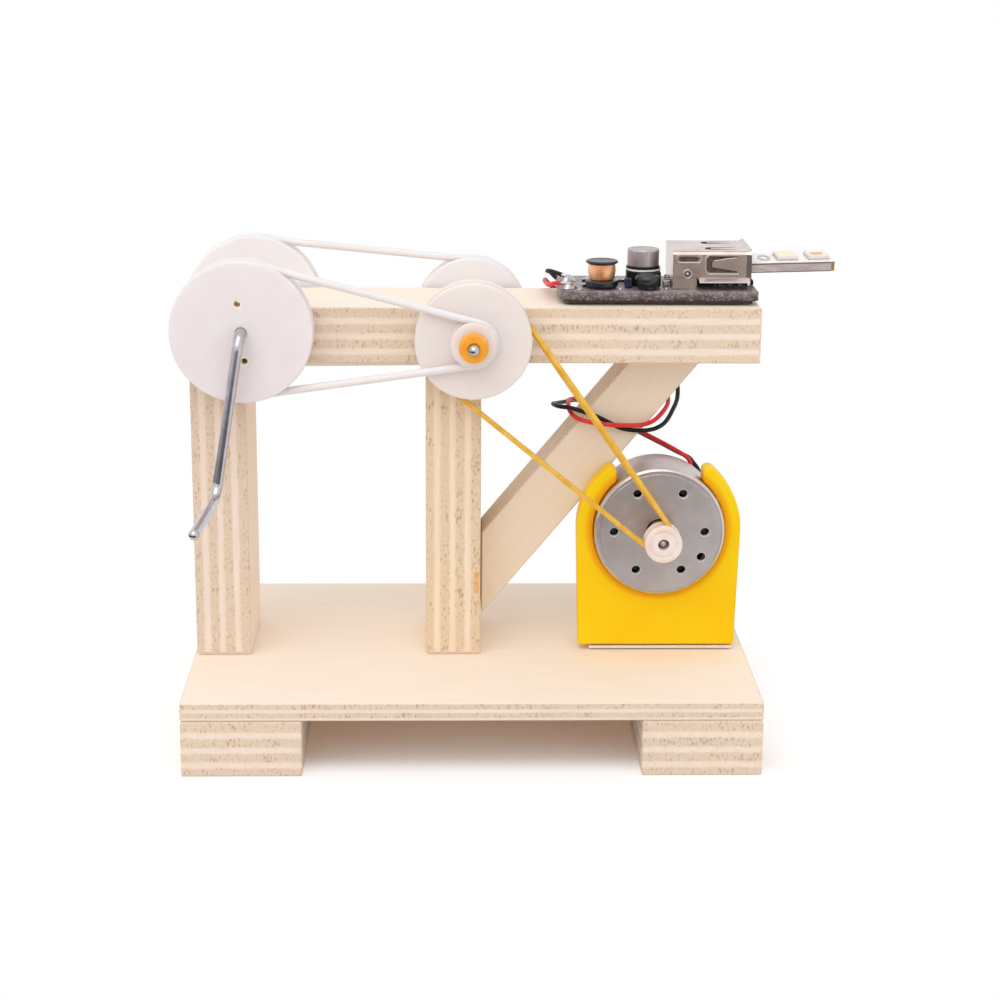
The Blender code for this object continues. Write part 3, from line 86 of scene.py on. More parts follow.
camera = bpy.data.objects.new("camera", bpy.data.cameras.new("camera"))
camera.data.lens = CAMERA_LENS
camera.data.sensor_width = 36.0
camera.data.shift_x = CAMERA_SHIFT
camera.data.clip_start = 0.01
turn = Matrix([list(row) for row in np.column_stack([right, up, -forward])]).to_4x4()
camera.matrix_world = Matrix.Translation(metres(CAMERA_AT)) @ turn
bpy.context.scene.collection.objects.link(camera)
bpy.context.scene.camera = camera
print("camera at", [round(c, 4) for c in camera.location])

# %% [markdown]
# ## Tools for shapes
# Every new surface here is a grid of points that numpy works out all at once: a profile turned about
# an axis, or a section carried along a path. Corners of a profile are rounded first, because no real
# edge is sharp, and the small highlight on a rounded edge is what makes a piece look made.


# %% Profiles and grids
def rounded(corners, radius, steps=4, closed=False):
    """Rounds the corners of a flat line.

    A corner P becomes a curve from P + a to P + b, where a and b point along its two sides and are as
    long as the radius or 0.45 of the side. A point at share t lies at P + (1 - t)^2 a + t^2 b.
    """
    corners = np.asarray(corners, float)
    before, after = np.roll(corners, 1, 0) - corners, np.roll(corners, -1, 0) - corners
    radius = np.broadcast_to(np.asarray(radius, float), len(corners))[:, None]
    length_before = np.linalg.norm(before, axis=1, keepdims=True)
    length_after = np.linalg.norm(after, axis=1, keepdims=True)
    a = before / length_before * np.minimum(radius, 0.45 * length_before)
    b = after / length_after * np.minimum(radius, 0.45 * length_after)
    t = np.linspace(0, 1, steps + 1)[None, :, None]
    made = corners[:, None] + (1 - t) ** 2 * a[:, None] + t ** 2 * b[:, None]
    if closed:
        return made.reshape(-1, 2)
    return np.vstack([corners[:1], made[1:-1].reshape(-1, 2), corners[-1:]])


def grid_faces(rows, columns, wrap_rows=False, wrap_columns=True):
    """Quads between the neighbours of a grid whose points are numbered row by row."""
    row = np.arange(rows if wrap_rows else rows - 1)[:, None]
    column = np.arange(columns if wrap_columns else columns - 1)[None, :]
    next_row, next_column = (row + 1) % rows, (column + 1) % columns
    quads = [row * columns + column, row * columns + next_column,
             next_row * columns + next_column, next_row * columns + column]
    return np.stack(quads, -1).reshape(-1, 4).tolist()


def circle(radius, count, centre=(0.0, 0.0), start=0.0):
    """Points at (radius cos a, radius sin a) round a flat centre."""
    a = start + np.linspace(0, 2 * math.pi, count, endpoint=False)
    return np.array(centre) + radius * np.column_stack([np.cos(a), np.sin(a)])


def placed(flat, along, axis):
    """Flat points (u, v) and a distance along an axis: Y gives (u, along, v), Z gives (u, v, along) and
    X gives (along, u, v)."""
    along = np.broadcast_to(along, flat.shape[:-1])
    order = {"Y": (flat[..., 0], along, flat[..., 1]), "Z": (flat[..., 0], flat[..., 1], along),
             "X": (along, flat[..., 0], flat[..., 1])}[axis]
    return np.stack(order, -1)


def turned(profile, centre, axis="Y", segments=96, closed=False):
    """A surface of revolution: a profile point (r, s) goes round as (r cos a, r sin a), at distance s."""
    profile = np.asarray(profile, float)
    ring = circle(1.0, segments)
    points = placed(profile[:, None, :1] * ring[None], profile[:, None, 1], axis) + np.asarray(centre, float)
    return points.reshape(-1, 3), grid_faces(len(profile), segments, closed)


def prism(outline, start, end, axis="Y", centre=(0, 0, 0)):
    """A flat outline carried straight along an axis, closed at both ends."""
    outline = np.asarray(outline, float)
    points = np.vstack([placed(outline, start, axis), placed(outline, end, axis)]) + np.asarray(centre, float)
    count = len(outline)
    ends = [list(range(count)), list(range(count, 2 * count))]
    return points, grid_faces(2, count) + ends


def plate(outer, holes, along, axis="Y", centre=(0, 0, 0)):
    """A flat face inside the outer loop and outside the hole loops, cut into triangles."""
    loops = [np.asarray(loop, float) for loop in (outer, *holes)]
    triangles = tessellate_polygon([[(u, v, 0.0) for u, v in loop] for loop in loops])
    corners = placed(np.vstack(loops), along, axis) + np.asarray(centre, float)
    return corners, [list(triangle) for triangle in triangles]


# %% Sections carried along a path
def smooth_path(points, per_span):
    """Catmull-Rom: between B and C, with A before and D after, a point at t is
    (2B + (C - A)t + (2A - 5B + 4C - D)t^2 + (3B - A - 3C + D)t^3) / 2."""
    p = np.asarray(points, float)
    p = np.vstack([2 * p[0] - p[1], p, 2 * p[-1] - p[-2]])
    a, b, c, d = (p[i:len(p) - 3 + i, None, :] for i in range(4))
    t = np.arange(per_span)[None, :, None] / per_span
    line = 0.5 * (2 * b + (c - a) * t + (2 * a - 5 * b + 4 * c - d) * t ** 2
                  + (3 * b - a - 3 * c + d) * t ** 3)
    return np.vstack([line.reshape(-1, 3), p[-2]])


def directions(path, closed=False):
    """Unit tangents of a path, from the point before to the point after."""
    if closed:
        step = np.roll(path, -1, 0) - np.roll(path, 1, 0)
    else:
        step = np.gradient(path, axis=0)
    return step / np.linalg.norm(step, axis=1, keepdims=True)


def sideways(path):
    """A unit vector square to each tangent, turned as little as possible from one point to the next."""
    tangents = directions(path)
    askew = (0.3, 0.5, 0.8)    # any direction that no path here starts along
    side = [np.cross(tangents[0], askew)]
    for tangent in tangents[1:]:
        side.append(side[-1] - tangent * np.dot(side[-1], tangent))
    side = np.array(side)
    return side / np.linalg.norm(side, axis=1, keepdims=True)


def carried(section, path, side, closed=False, taper=None):
    """A section (u, v) carried along a path: each point is P + u side + v (tangent x side)."""
    path, section = np.asarray(path, float), np.asarray(section, float)
    other = np.cross(directions(path, closed), side)
    size = np.ones(len(path)) if taper is None else np.asarray(taper, float)
    points = (path[:, None] + size[:, None, None] * (
        section[None, :, :1] * side[:, None] + section[None, :, 1:] * other[:, None]))
    faces = grid_faces(len(path), len(section), closed)
    if not closed:
        count, last = len(section), (len(path) - 1) * len(section)
        faces += [list(range(count)), list(range(last, last + count))]
    return points.reshape(-1, 3), faces


def dome_ends(path, radius, steps=5):
    """Adds points and tapers so that a bar ends in a half sphere: at depth d, the taper is the square
    root of 1 - (1 - d)^2, with d as a share of the radius."""
    tip = 0.12                 # radians: the tip's ring is small, but no point
    share = 1 - np.cos(np.linspace(tip, math.pi / 2, steps))
    first, last = directions(path)[0], directions(path)[-1]
    start = path[0] + first * radius * share[:, None]
    end = path[-1] - last * radius * share[::-1, None]
    taper = np.sqrt(np.clip(1 - (1 - share) ** 2, 0, 1))
    return np.vstack([start, path[1:-1], end]), np.concatenate([taper, np.ones(len(path) - 2), taper[::-1]])


# %% A finished piece
MERGE_WITHIN = 2e-7        # metres
EDGE_STEPS = 3


def piece(name, parts, finish, body, replaces=(), sharp=38.0, edge=0.0):
    """One object from (points, faces) parts in millimetres: parts joined, doubles merged, faces outward."""
    count, points, faces = 0, [], []
    for part_points, part_faces in parts:
        points.append(part_points)
        faces += [[corner + count for corner in face] for face in part_faces]
        count += len(part_points)
    mesh = bpy.data.meshes.new(name)
    mesh.from_pydata(metres(np.vstack(points)).tolist(), [], faces)
    shape = bmesh.new()
    shape.from_mesh(mesh)
    bmesh.ops.remove_doubles(shape, verts=shape.verts, dist=MERGE_WITHIN)
    bmesh.ops.recalc_face_normals(shape, faces=shape.faces)
    shape.to_mesh(mesh)
    shape.free()
    mesh.shade_smooth()
    mesh.set_sharp_from_angle(angle=math.radians(sharp))
    made = bpy.data.objects.new(name, mesh)
    made.data.materials.append(finish)
    bpy.context.scene.collection.objects.link(made)
    if edge:
        bevel = made.modifiers.new("rounded edge", "BEVEL")
        bevel.width = edge / 1000
        bevel.segments = EDGE_STEPS
        bevel.limit_method = "ANGLE"
        bevel.angle_limit = math.radians(sharp)
        bevel.harden_normals = True
    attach(made, body)
    if replaces:
        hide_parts(*replaces)
    return made


# %% [markdown]
# ## Tools for finishes
# A finish is a Principled shader with a pattern of nodes behind it. Colours are written as the hex
# values that a picture shows, and one function turns them into the linear light that Blender mixes.
# Patterns read Object coordinates, in metres, so a pattern with a grain of g millimetres has a scale
# of 1000 / g, here to the nearest ten. Most real grains, such as a plastic's mottling, are finer than
# one pixel of this view, so they are drawn as coarse as it takes to see them.


# %% Colours and nodes
def light(code):
    """Linear colour of an sRGB hex value: ((c + 0.055) / 1.055) ^ 2.4, or c / 12.92 near black."""
    c = np.array([int(code[i:i + 2], 16) for i in (1, 3, 5)]) / 255
    return (*np.where(c > 0.04045, ((c + 0.055) / 1.055) ** 2.4, c / 12.92).tolist(), 1.0)


def fill(node, **sockets):
    """Fills a node's inputs, by name or by number (n0, n1), with plain values or with links. A link comes
    from a socket, or from the first output in use of another node."""
    for key, value in sockets.items():
        place = int(key[1:]) if key[0] == "n" and key[1:].isdigit() else key.replace("_", " ")
        if isinstance(value, bpy.types.Node):
            value = next(socket for socket in value.outputs if socket.enabled)
        if isinstance(value, bpy.types.NodeSocket):
            node.id_data.links.new(value, node.inputs[place])
        else:
            node.inputs[place].default_value = value
    return node


def add(tree, kind, settings=(), stops=(), **sockets):
    """Adds one node, sets it up and fills its inputs. A word as its settings is its operation, and a
    Color Ramp gets its stops as (place, hex colour)."""
    made = tree.nodes.new("ShaderNode" + kind)
    settings = {"operation": settings} if isinstance(settings, str) else dict(settings)
    for key, value in settings.items():
        setattr(made, key, value)
    for place, _ in stops[1:-1]:
        made.color_ramp.elements.new(place)
    for number, (place, colour) in enumerate(stops):
        made.color_ramp.elements[number].position = place
        made.color_ramp.elements[number].color = light(colour)
    return fill(made, **sockets)


def surface(name, colour, roughness, **values):
    """A new material with its Principled shader, and the Object coordinates for its patterns."""
    made = bpy.data.materials.new(name)
    made.use_nodes = True
    made.diffuse_color = light(colour)
    shader = made.node_tree.nodes["Principled BSDF"]
    fill(shader, Base_Color=light(colour), Roughness=roughness, **values)
    return made, made.node_tree, shader, add(made.node_tree, "TexCoord").outputs["Object"]


def per_metre(grain):
    """A pattern's scale, which is its cells per metre to the nearest ten, from its grain in millimetres."""
    return round(1000 / grain, -1)


BLEND = {"data_type": "RGBA"}
MULTIPLY = {"data_type": "RGBA", "blend_type": "MULTIPLY"}
DARKEN = {"data_type": "RGBA", "blend_type": "DARKEN"}


def mottled(tree, spot, grain, low, high, detail=3.0, squeeze=(1, 1, 1)):
    """A soft pattern of two colours, from noise whose grain is in millimetres."""
    stretched = add(tree, "VectorMath", "MULTIPLY", n0=spot, n1=squeeze)
    noise = add(tree, "TexNoise", Vector=stretched, Scale=per_metre(grain), Detail=detail)
    return add(tree, "ValToRGB", stops=[(0.3, low), (0.7, high)], n0=noise)


def bumped(tree, shader, height, depth):
    """Raises the surface by a height pattern, with a depth in millimetres."""
    fill(shader, Normal=add(tree, "Bump", Strength=1.0, Distance=depth / 1000, Height=height))


def toned(name, colour, roughness, grain, low, high, detail=3.0, squeeze=(1, 1, 1), relief=None, **values):
    """A whole finish: two close tones in one grain, and a relief of noise that is given as its grain, its
    detail and its depth. The plain colour is what a view without patterns shows."""
    made, tree, shader, spot = surface(name, colour, roughness, **values)
    fill(shader, Base_Color=mottled(tree, spot, grain, low, high, detail, squeeze))
    if relief:
        noise = add(tree, "TexNoise", Vector=spot, Scale=per_metre(relief[0]), Detail=relief[1])
        bumped(tree, shader, noise, relief[2])
    return made


# %% [markdown]
# ## Plywood
# The feet, posts and beam are lengths of one birch plywood strip, seven plies thick, and the base is
# a thinner board of five. On a sawn edge the plies take turns: one shows its long grain, which is
# pale and smooth, and the next shows its end grain, which is darker and full of open pores. On the
# faces next to that edge they swap. So the material is solid all through: it finds the ply from the
# distance across the strip, and asks the surface's direction which of the two grains to show.

# %% Plywood material
VENEER = ("#F8E8D6", "#FBECDC")
LONG_GRAIN = ("#F0DECB", "#F8E8D8")
END_GRAIN = ("#E0C9B0", "#ECD8C2")
# Painted light: the brace's end grain is paler than the other pieces', to lift the shade that the beam casts
# on the brace's upper side.
BRACE_END_GRAIN_PAINTED_LIGHT = ("#EEDDCB", "#F6E8DA")
PORE = "#B09078"
STRIP_PLIES = (0.150, 0.265, 0.430, 0.540, 0.705, 0.820)
BASE_PLIES = (0.17, 0.46, 0.66, 0.96)
PLY_BLUR, PLY_WANDER = 0.022, 0.05     # shares of the thickness
PORE_GAP, PORE_LEAN = 0.526, math.radians(35)
FIBRES_TOGETHER = 0.08     # along the grain a fibre is about twelve times as long as it is wide


def ply_kinds(tree, height, wander, low, thickness, plies, cross):
    """White in the plies that run across the strip and black in the others. Each glue line wanders a
    little, and the blur stands for the glue that soaked in."""
    share = add(tree, "MapRange", Value=height, From_Min=low, From_Max=low + thickness)
    share = add(tree, "Math", "MULTIPLY_ADD", n0=wander, n1=PLY_WANDER, n2=share)
    share = add(tree, "Math", "SUBTRACT", n0=share, n1=PLY_WANDER / 2)
    kinds = ("#FFFFFF", "#000000") if cross else ("#000000", "#FFFFFF")
    stops = [(0.0, kinds[0])]
    for number, edge in enumerate(plies):
        stops += [(edge - PLY_BLUR, kinds[number % 2]), (edge + PLY_BLUR, kinds[(number + 1) % 2])]
    return add(tree, "ValToRGB", stops=stops, n0=share)


def end_grain_of(tree, spot, tones):
    """End grain: darker wood with open pores, which lie in drifts, so noise sets how far each one reaches."""
    wood = mottled(tree, spot, 0.435, *tones, 4.0)
    slanted = add(tree, "Mapping", Vector=spot, Rotation=(0, PORE_LEAN, 0), Scale=(1.0, 1.0, 0.5))
    pores = add(tree, "TexVoronoi", {"feature": "F1"}, Vector=slanted, Scale=per_metre(PORE_GAP),
                Randomness=1.0)
    drift = add(tree, "TexNoise", Vector=spot, Scale=per_metre(3.33), Detail=2.0)
    reach = add(tree, "MapRange", Value=drift, From_Min=0.3, From_Max=0.7, To_Min=0.2, To_Max=0.62)
    pore = add(tree, "Math", {"operation": "SUBTRACT", "use_clamp": True}, n0=reach, n1=pores)
    pore = add(tree, "Math", {"operation": "MULTIPLY", "use_clamp": True}, n0=pore, n1=1.6)
    return add(tree, "Mix", BLEND, n0=pore, n6=wood, n7=light(PORE))


def plywood(name, low, thickness, across, along, plies, cross=True, tint="#FFFFFF", tilt=0.0, seed=0.0,
            end_tones=END_GRAIN):
    """Plywood whose plies meet at the given shares of its thickness, with its long grain along an axis.
    With cross, the outermost plies run across that axis."""
    made, tree, shader, spot = surface(name, VENEER[1], 0.62, Specular_IOR_Level=0.25)
    if tilt:
        spot = add(tree, "Mapping", Vector=spot, Rotation=(0, tilt, 0))
    facing = add(tree, "SeparateXYZ", Vector=tree.nodes["Texture Coordinate"].outputs["Normal"])
    place = add(tree, "SeparateXYZ", Vector=spot)
    wander = add(tree, "TexNoise", Vector=spot, Scale=per_metre(2.38), Detail=2.0)
    kind = ply_kinds(tree, place.outputs[across], wander, low, thickness, plies, cross)
    end_on = add(tree, "Math", "ABSOLUTE", n0=facing.outputs[along])
    end_on = add(tree, "Math", "GREATER_THAN", n0=end_on, n1=0.6)
    swap = add(tree, "Math", "SUBTRACT", n0=kind, n1=end_on)
    is_end = add(tree, "Math", {"operation": "ABSOLUTE", "use_clamp": True}, n0=swap)

    squeeze = [1.0, 1.0, 1.0]
    squeeze[along] = FIBRES_TOGETHER
    shifted = add(tree, "Mapping", Vector=spot, Location=(seed, seed * 0.7, seed * 1.3))
    veneer = mottled(tree, shifted, 1.43, *VENEER, 3.0, squeeze)
    long_grain = mottled(tree, shifted, 0.625, *LONG_GRAIN, 3.0, squeeze)
    end_grain = end_grain_of(tree, shifted, end_tones)
    edge_colour = add(tree, "Mix", BLEND, n0=is_end, n6=long_grain, n7=end_grain)
    broad = add(tree, "Math", "ABSOLUTE", n0=facing.outputs[across])
    broad = add(tree, "MapRange", Value=broad, From_Min=0.75, From_Max=0.95)
    colour = add(tree, "Mix", BLEND, n0=broad, n6=edge_colour, n7=veneer)
    fill(shader, Base_Color=add(tree, "Mix", MULTIPLY, n0=1.0, n6=colour, n7=light(tint)))
    fibres = add(tree, "TexNoise", Vector=shifted, Scale=per_metre(0.385), Detail=3.0)
    bumped(tree, shader, add(tree, "Mix", {"data_type": "FLOAT"}, n0=broad, n2=fibres, n3=wander), 0.05)
    return made


def dress(node, finish):
    """Gives a CAD node its finish in every slot."""
    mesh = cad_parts[node].data
    mesh.materials.clear()
    mesh.materials.append(finish)


X, Y, Z = 0, 1, 2
for node, across, along, plies, cross, tint in (
        ("base_plate", Z, X, BASE_PLIES, False, "#FFFFFF"),
        ("foot_left", Z, Y, STRIP_PLIES, False, "#FFFFFF"),
        ("foot_right", Z, Y, STRIP_PLIES, False, "#FFFFFF"),
        ("post_left", X, Z, STRIP_PLIES, True, "#FDFBFB"),
        ("post_middle", X, Z, STRIP_PLIES, True, "#FFFAEE"),
        ("top_beam", Z, X, STRIP_PLIES, True, "#FFFFFF")):
    low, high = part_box(node)
    dress(node, plywood(f"birch plywood, {node.replace('_', ' ')}", low[across], high[across] - low[across],
                        across, along, plies, cross, tint, seed=0.013 * len(node)))
# The brace gets the paler end grain: painted light on its shaded upper side.
low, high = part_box("brace")
BRACE_PITCH = math.radians(50.5)
dress("brace", plywood("birch plywood, brace", low.y, high.y - low.y, Y, X, STRIP_PLIES, True, "#F2EFE9",
                       BRACE_PITCH, 0.05, BRACE_END_GRAIN_PAINTED_LIGHT))
print("plywood on 7 pieces")


# %% Glue
def box_mm(node):
    """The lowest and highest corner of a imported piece, in millimetres from the base's middle."""
    return [(np.array(corner) - BASE_MIDDLE) * 1000 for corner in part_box(node)]


glue = toned("wood glue, dry", LONG_GRAIN[0], 0.6, 0.667, END_GRAIN[1], LONG_GRAIN[0],
             Specular_IOR_Level=0.25)
GLUE_INSET, GLUE_BITE = 0.2, 0.2
for node, top in (("foot_left", True), ("foot_right", True), ("post_left", False), ("post_middle", False)):
    low, high = box_mm(node)
    at = high[2] if top else low[2]
    low, high = low + GLUE_INSET, high - GLUE_INSET
    corners = [(low[0], low[1]), (high[0], low[1]), (high[0], high[1]), (low[0], high[1])]
    piece(f"{node}_glue", [prism(corners, at - GLUE_BITE, at + GLUE_BITE, "Z")], glue, "stand")

# A smear of amber glue stays on the middle post's front edge, just above the brace's tip.
smear = toned("wood glue, amber smear", "#E6AE74", 0.45, 0.909, "#DDA062", "#EFC08C", Specular_IOR_Level=0.3)
SMEAR_WIDE, SMEAR_TALL = 0.8, 4.1
SMEAR_INSET, SMEAR_ABOVE_TIP = 0.36, 6.3
low, high = box_mm("post_middle")
right, bottom = high[0] - SMEAR_INSET, box_mm("brace")[0][2] + SMEAR_ABOVE_TIP
outline = rounded([(right - SMEAR_WIDE, bottom), (right, bottom), (right, bottom + SMEAR_TALL),
                   (right - SMEAR_WIDE, bottom + SMEAR_TALL)], 0.3, 4, closed=True)
piece("post_glue_smear", [prism(outline, low[1] - 0.04, low[1] + 0.2)], smear, "stand")
print("glue under 4 pieces, and a smear of it on a post")

# %% [markdown]
# ## Frosted wheels
# The wheels are moulded in natural polypropylene, milky and a little see-through. Light enters and
# spreads inside, so they look soft and pale, and the wood shows faintly behind them. Subsurface
# scattering gives the softness and a little rough transmission gives the view through.

# %% Wheel materials
def polypropylene(use, low, high):
    """Milky plastic between two close tones."""
    return toned(f"natural polypropylene, {use}", high, 0.45, 6.25, low, high, relief=(0.714, 2.0, 0.01),
                 Subsurface_Weight=0.4, Subsurface_Scale=0.0015, Subsurface_Radius=(1.0, 0.85, 0.82),
                 Transmission_Weight=0.12, IOR=1.4, Specular_IOR_Level=0.3)


# Painted light: the three wheels are one plastic in tones set to the light on each. The middle wheel's warmer
# tone paints the wood glowing through it, and the back wheels are paler to lift their shade.
crank_plastic = polypropylene("crank wheel", "#F8EDEE", "#FCF2F3")
middle_plastic_painted_warm = polypropylene("middle wheel", "#F8ECE8", "#FCF1ED")
back_plastic = polypropylene("back wheels", "#F8F2F4", "#FCF8F9")
# Painted light: the peg holes' walls are a pale cream that paints the light and the wood seen through the
# holes, which their shade would hide.
peg_wall_painted_light = toned("natural polypropylene, drilled", "#FCEFD4", 0.5, 1.67, "#F8E6C4", "#FDF3DE",
                Specular_IOR_Level=0.2)

# %% Wheel sizes
CRANK_AXIS = (-41.3, 76.8)
AXLE = (0.2, 75.0)
FRONT_WHEEL, MIDDLE_WHEEL, BACK_WHEELS = -16.7, -15.7, 13.0     # where each front face lies
WHEEL_THICK = 5.3
LARGE_RIM, LARGE_GROOVE = 12.85, 11.1
MEDIUM_RIM, MEDIUM_GROOVE = 10.6, 8.9
RIM_BAND = 0.6             # the turned rim takes this much of each flat face
GROOVE_HALF = 0.95
GROOVE_FLARE = 0.5
BORE = 1.3
ROD_BORE = 1.02            # the large wheels are pressed on the rod
BORE_LIP = 0.12
PEG_BORE, PEG_LIP = 0.55, 0.32
PEG_CIRCLE, PEG_TURN = 5.2, math.radians(96)


# %% Wheels
def wheel_rim(front, rim, groove):
    """The outer half section of a grooved wheel as (radius, Y) points, with round edges."""
    middle, back = front + WHEEL_THICK / 2, front + WHEEL_THICK
    corners = [(rim - RIM_BAND, front), (rim, front), (rim, middle - GROOVE_HALF - GROOVE_FLARE),
               (groove, middle - GROOVE_HALF), (groove, middle + GROOVE_HALF),
               (rim, middle + GROOVE_HALF + GROOVE_FLARE), (rim, back), (rim - RIM_BAND, back)]
    return rounded(corners, [0, 0.55, 0.25, 0.6, 0.6, 0.25, 0.55, 0])


def tunnel(radius, start, end, centre, count, lip):
    """The wall of a round hole, with a small rounded lip at both ends."""
    corners = [(radius + lip, start), (radius, start), (radius, end), (radius + lip, end)]
    return turned(rounded(corners, lip * 1.5, 3), centre, "Y", count)


def large_wheel(name, front, finish):
    """A wheel with two peg holes: the rim is turned, and its two flat faces are cut round the holes."""
    (x, z), back = CRANK_AXIS, front + WHEEL_THICK
    pegs = [(PEG_CIRCLE * math.cos(a), PEG_CIRCLE * math.sin(a)) for a in (PEG_TURN, PEG_TURN + math.pi)]
    holes = [circle(ROD_BORE + BORE_LIP, 32)] + [circle(PEG_BORE + PEG_LIP, 24, peg) for peg in pegs]
    parts = [turned(wheel_rim(front, LARGE_RIM, LARGE_GROOVE), (x, 0, z), segments=128),
             tunnel(ROD_BORE, front, back, (x, 0, z), 32, BORE_LIP)]
    parts += [plate(circle(LARGE_RIM - RIM_BAND, 128), holes, y, centre=(x, 0, z)) for y in (front, back)]
    walls = [tunnel(PEG_BORE, front, back, (x + px, 0, z + pz), 24, PEG_LIP) for px, pz in pegs]
    piece(f"{name}_peg_holes", walls, peg_wall_painted_light, "crank")
    piece(f"{name}_surface", parts, finish, "crank", [name])


def middle_wheel(name, front, body, finish, hub=()):
    """A wheel with a plain bore; the front one has a small pulley moulded on its face."""
    back = front + WHEEL_THICK
    first = hub if len(hub) else rounded([(BORE, front + 0.8), (BORE, front), (4.0, front)], [0, 0.15, 0])
    last = rounded([(4.0, back), (BORE, back), (BORE, back - 0.8)], [0, 0.15, 0])
    profile = np.vstack([first, wheel_rim(front, MEDIUM_RIM, MEDIUM_GROOVE), last])
    piece(f"{name}_surface", [turned(profile, (AXLE[0], 0, AXLE[1]), segments=112, closed=True)],
          finish, body, [name])


large_wheel("crank_wheel_front", FRONT_WHEEL, crank_plastic)
large_wheel("crank_wheel_back", BACK_WHEELS, back_plastic)
pulley_hub = rounded([(BORE, -18.1), (BORE, -18.9), (4.1, -18.9), (4.1, -18.1), (2.9, -18.1), (2.9, -16.2),
                      (4.1, -16.2), (4.1, MIDDLE_WHEEL), (6.0, MIDDLE_WHEEL)],
                     [0, 0.12, 0.3, 0.15, 0.5, 0.5, 0.15, 0.1, 0])
middle_wheel("middle_wheel_front", MIDDLE_WHEEL, "front_pulley", middle_plastic_painted_warm, pulley_hub)
middle_wheel("middle_wheel_back", BACK_WHEELS, "back_wheel", back_plastic)
print("four frosted wheels")

# %% [markdown]
# ## Belts
# Two belts are pale, soft, round cords, and the one to the motor is a square band of amber latex. An
# open belt is two straight runs that touch both pitch circles, and an arc round each pulley. Where
# the pulleys lie at different depths, the runs slant from one depth to the other.

# %% Belt materials
# Silicone is milky and lets light through, and latex is amber, smooth and a little deeper inside.
pale_rubber = toned("silicone cord, extruded", "#F8F0F0", 0.5, 8.33, "#F6EEEE", "#FBF5F5",
                    Subsurface_Weight=0.5, Subsurface_Scale=0.0012, Subsurface_Radius=(1.0, 0.8, 0.75),
                    Transmission_Weight=0.15, IOR=1.41)
amber_rubber = toned("amber latex band, cut", "#EAB83E", 0.45, 2.0, "#E0AA30", "#F0C556",
                     Subsurface_Weight=0.2, Subsurface_Scale=0.0008, Subsurface_Radius=(1.0, 0.6, 0.2),
                     Specular_IOR_Level=0.3)

# %% Belt paths
LARGE_PITCH, SMALL_PITCH, MEDIUM_PITCH, BAND_PITCH, MOTOR_PITCH = 12.1, 3.9, 9.9, 9.7, 2.6
MOTOR_AXIS = (35.2, 37.6)
HUB_GROOVE_Y, MOTOR_GROOVE_Y = -17.15, -15.05      # the two small pulleys' grooves
CORD_RADIUS, BAND_TWIST = 0.7, math.radians(48)
RUN_POINTS = 24


def belt_path(first, first_pitch, second, second_pitch):
    """Points round two pitch circles. With d the distance of the axes, the runs leave the line between
    them by the angle whose cosine is (first pitch - second pitch) / d."""
    first, second = np.asarray(first, float), np.asarray(second, float)
    flat = (second - first)[[0, 2]]
    heading = math.atan2(flat[1], flat[0])
    lean = math.acos((first_pitch - second_pitch) / np.linalg.norm(flat))
    arcs = []
    for centre, pitch, start, end, count in ((first, first_pitch, lean, 2 * math.pi - lean, 64),
                                             (second, second_pitch, -lean, lean, 40)):
        a = heading + np.linspace(start, end, count)
        arcs.append(centre + pitch * np.column_stack([np.cos(a), 0 * a, np.sin(a)]))
    share = np.linspace(0, 1, RUN_POINTS + 2)[1:-1, None]
    runs = [a[-1] + (b[0] - a[-1]) * share for a, b in (arcs, arcs[::-1])]
    return np.vstack([arcs[0], runs[0], arcs[1], runs[1]])


def belt(name, ends, section, finish, twist=0.0):
    """A closed band round two pulleys, each given as its axis (x, z), its groove's Y and its pitch. The
    section keeps one side along the depth axis, except where a straight run twists."""
    path = belt_path(*[part for (x, z), y, pitch in ends for part in ((x, y, z), pitch)])
    tangents = directions(path, True)
    side = np.array([0, 1, 0]) - tangents * tangents[:, 1:2]
    side /= np.linalg.norm(side, axis=1, keepdims=True)
    turn = np.zeros(len(path))
    upper_run = slice(-RUN_POINTS, None)
    turn[upper_run] = twist * np.sin(np.linspace(0, math.pi, RUN_POINTS + 2)[1:-1]) ** 0.7
    side = side * np.cos(turn)[:, None] + np.cross(tangents, side) * np.sin(turn)[:, None]
    piece(f"{name}_surface", [carried(section, path, side, True)], finish, "stand", [name])


cord_section = circle(CORD_RADIUS, 14)
band_section = rounded([(-0.6, -0.42), (0.6, -0.42), (0.6, 0.42), (-0.6, 0.42)], 0.12, 2, closed=True)
mid_groove = WHEEL_THICK / 2
belt("front_belt", ((CRANK_AXIS, FRONT_WHEEL + mid_groove, LARGE_PITCH), (AXLE, HUB_GROOVE_Y, SMALL_PITCH)),
     cord_section, pale_rubber)
belt("back_belt", ((CRANK_AXIS, BACK_WHEELS + mid_groove, LARGE_PITCH),
                   (AXLE, BACK_WHEELS + mid_groove, MEDIUM_PITCH)), cord_section, pale_rubber)
belt("drive_belt", ((AXLE, MIDDLE_WHEEL + mid_groove, BAND_PITCH), (MOTOR_AXIS, MOTOR_GROOVE_Y, MOTOR_PITCH)),
     band_section, amber_rubber, BAND_TWIST)
print("three belts")

# %% [markdown]
# ## Steel: the crank, the axle and the motor's shaft
# The crank is one bright drawn rod with a nickel plate. Its bends are arcs, and its ends are domed as
# a tumbled end is. Bright steel is almost a mirror, so its look comes from what stands round it.

# %% Steel materials
bright_steel = toned("bright nickel-plated steel, drawn", "#C4C2C8", 0.2, 2.86, "#B9B7BE", "#CDCBD0",
                     relief=(1.11, 1.0, 0.006), Metallic=1.0)


